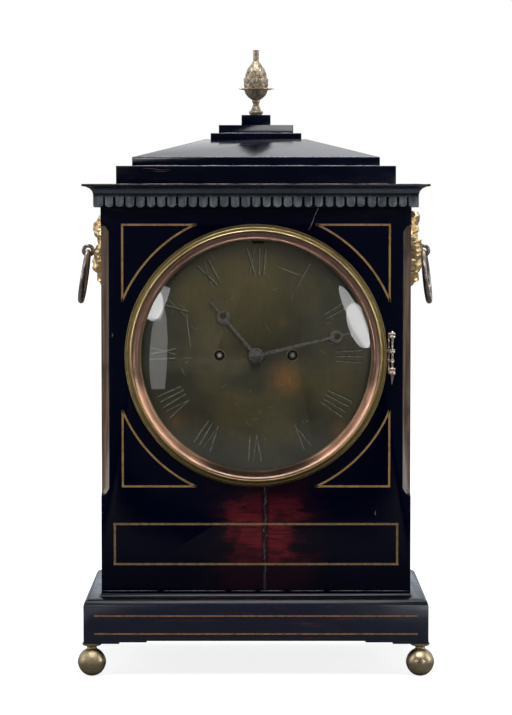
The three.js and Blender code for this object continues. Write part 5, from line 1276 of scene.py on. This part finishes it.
# Short pale runs beside the crack, on either side.
crack = Shape()
for start in range(0, len(WIDE_CRACK) - 6, 6):
    part = WIDE_CRACK[start:start + chance.choice((4, 5, 6))]
    shift = chance.choice((-0.7, 0.75))
    swell = [sin(pi * (k + 0.5) / len(part)) for k in range(len(part))]
    widths = [0.15 + draw(0.1, 0.75) * s for s in swell]
    crack.band([(x + shift, z) for x, z in part], widths, FRONT, 0.06)
crack.piece("crack_lower", "crack_pale_bits", "ebonised_wood")

for name, material, y, rise, lines in (
    ("tier_marks", "red_mark", TIER_FRONT, 0.03, (
        ([(-95.5, 427.6), (-86, 427), (-80, 425.8), (-72.0, 426.2)], [0.2, 0.7, 0.5, 0.1]),
        ([(-88, 425.4), (-82, 424.7), (-74.0, 424.5)], [0.1, 0.5, 0.1]),
    )),
    ("front_marks", "edge_grey_chip_and_highlight", FRONT, 0.04, (
        ([(101, 139.2), (100.5, 137.6), (100.7, 136), (101.2, 134.9)], [0.2, 0.6, 0.8, 0.2]),
        ([(-121, 289), (-120.6, 287.3), (-120.9, 285.6)], [0.2, 0.9, 0.2]),
    )),
    ("crack_upper", "crack_red", FRONT, 0.04, (
        ([(52.2, 394), (49.2, 387.5), (47.3, 382), (44.4, 375.5)], [0.9, 0.5, 0.7, 0.2]),
    )),
):
    mark = Shape()
    for path, widths in lines:
        mark.band(path, widths, y, rise)
    mark.piece(name, material, "ebonised_wood")

# ---------------- floor, world, lights, camera
scene = bpy.context.scene
floor_mesh = bpy.data.meshes.new("floor")
edge = [(-12, -1.8, 0), (12, -1.8, 0), (12, 30, 0), (-12, 30, 0)]
floor_mesh.from_pydata(edge, [], [[0, 1, 2, 3]])
floor = bpy.data.objects.new("floor", floor_mesh)
scene.collection.objects.link(floor)
ground = Finish("floor", roughness=0.9)
paths = ground.node("ShaderNodeLightPath").outputs
far_front = ground.product(paths["Is Glossy Ray"], ground.span(ground.y, -0.7, -0.3, 1.0, 0.45))
ground.give("Base Color", ground.mix(far_front, (0.3, 0.3, 0.3, 1), (0.0, 0.0, 0.0, 1)))
ground.give("Specular IOR Level", 0.0)
ground.give("Emission Color", (1, 1, 1, 1))
reach = ground.node("ShaderNodeVectorMath", {0: ground.place}, operation="LENGTH").outputs[1]
glow = ground.product(ground.seen(paths), ground.span(reach, 0.35, 1.5, 0.84, 1.0))
ground.give("Emission Strength", glow)
floor_mesh.materials.append(ground.material)

world = bpy.data.worlds.new("studio")
world.use_nodes = True
scene.world = world
sky = Tree(world.node_tree)
sky.tree.nodes.clear()
spot = sky.node("ShaderNodeTexCoord").outputs["Generated"]
north = sky.node("ShaderNodeSeparateXYZ", {"Vector": spot}).outputs[1]
levels = {"Value": north, "From Min": 0.0, "From Max": 0.5, "To Min": 0.06, "To Max": 0.9}
behind = sky.node("ShaderNodeMapRange", levels).outputs[0]
dim = sky.node("ShaderNodeBackground", {"Color": (0.8, 0.88, 1.0, 1), "Strength": behind})
white = sky.node("ShaderNodeBackground", {"Color": (1, 1, 1, 1)})
seen = sky.seen(sky.node("ShaderNodeLightPath").outputs)
both = sky.node("ShaderNodeMixShader", {0: seen, 1: dim.outputs[0], 2: white.outputs[0]})
sky.put(sky.node("ShaderNodeOutputWorld").inputs["Surface"], both.outputs[0])

AIM = Vector((0, -0.078, 0.27))


def softbox(name, azimuth, elevation, distance, width, height, radiance, roll=0, shape="RECTANGLE"):
    """An area light that faces the dial from in front: azimuth to the right, elevation up."""
    a, e = radians(azimuth), radians(elevation)
    away = Vector((sin(a) * cos(e), -cos(a) * cos(e), sin(e)))
    spot = AIM + distance * away
    data = bpy.data.lights.new(name, "AREA")
    data.shape = shape
    data.size, data.size_y = width, height
    data.energy = radiance * 4 * width * height * (pi / 4 if shape == "ELLIPSE" else 1)
    lamp = bpy.data.objects.new(name, data)
    lamp.visible_transmission = False
    turn = (AIM - spot).to_track_quat("-Z", "Y").to_matrix().to_4x4()
    rolled = turn @ Matrix.Rotation(radians(roll), 4, "Z")
    lamp.matrix_world = Matrix.Translation(spot) @ rolled
    scene.collection.objects.link(lamp)


softbox("left_window", -31.5, 11.3, 2.1, 0.21, 0.33, 8, -6, "ELLIPSE")
softbox("left_window_edge", -30.0, 12.3, 2.11, 0.16, 0.36, 4, -14)
softbox("left_band", -31.2, -3.2, 1.15, 0.114, 0.62, 2.0, -3, "ELLIPSE")
softbox("right_window", 31.5, 5.5, 2.1, 0.25, 0.5, 7, 18, "ELLIPSE")
softbox("right_window_haze", 30.3, 8.0, 2.12, 0.15, 0.74, 5.5, 23, "ELLIPSE")
softbox("overhead", 0, 66, 1.9, 1.7, 1.0, 5.5)
softbox("side_left", -84, 20, 2.0, 0.8, 1.5, 3.2)
softbox("side_right", 84, 20, 2.0, 0.8, 1.5, 3.2)
softbox("behind", 180, 58, 2.2, 2.4, 1.3, 2.8)

camera_data = bpy.data.cameras.new("camera")
camera_data.sensor_width = 36.0
camera_data.lens = 132.9
camera_data.clip_end = 100
camera = bpy.data.objects.new("camera", camera_data)
camera.location = (0, -2.2940, 0.4007)
camera.rotation_euler = (radians(90 - 3.414), 0, 0)
scene.collection.objects.link(camera)
scene.camera = camera
scene.view_settings.view_transform = "Standard"
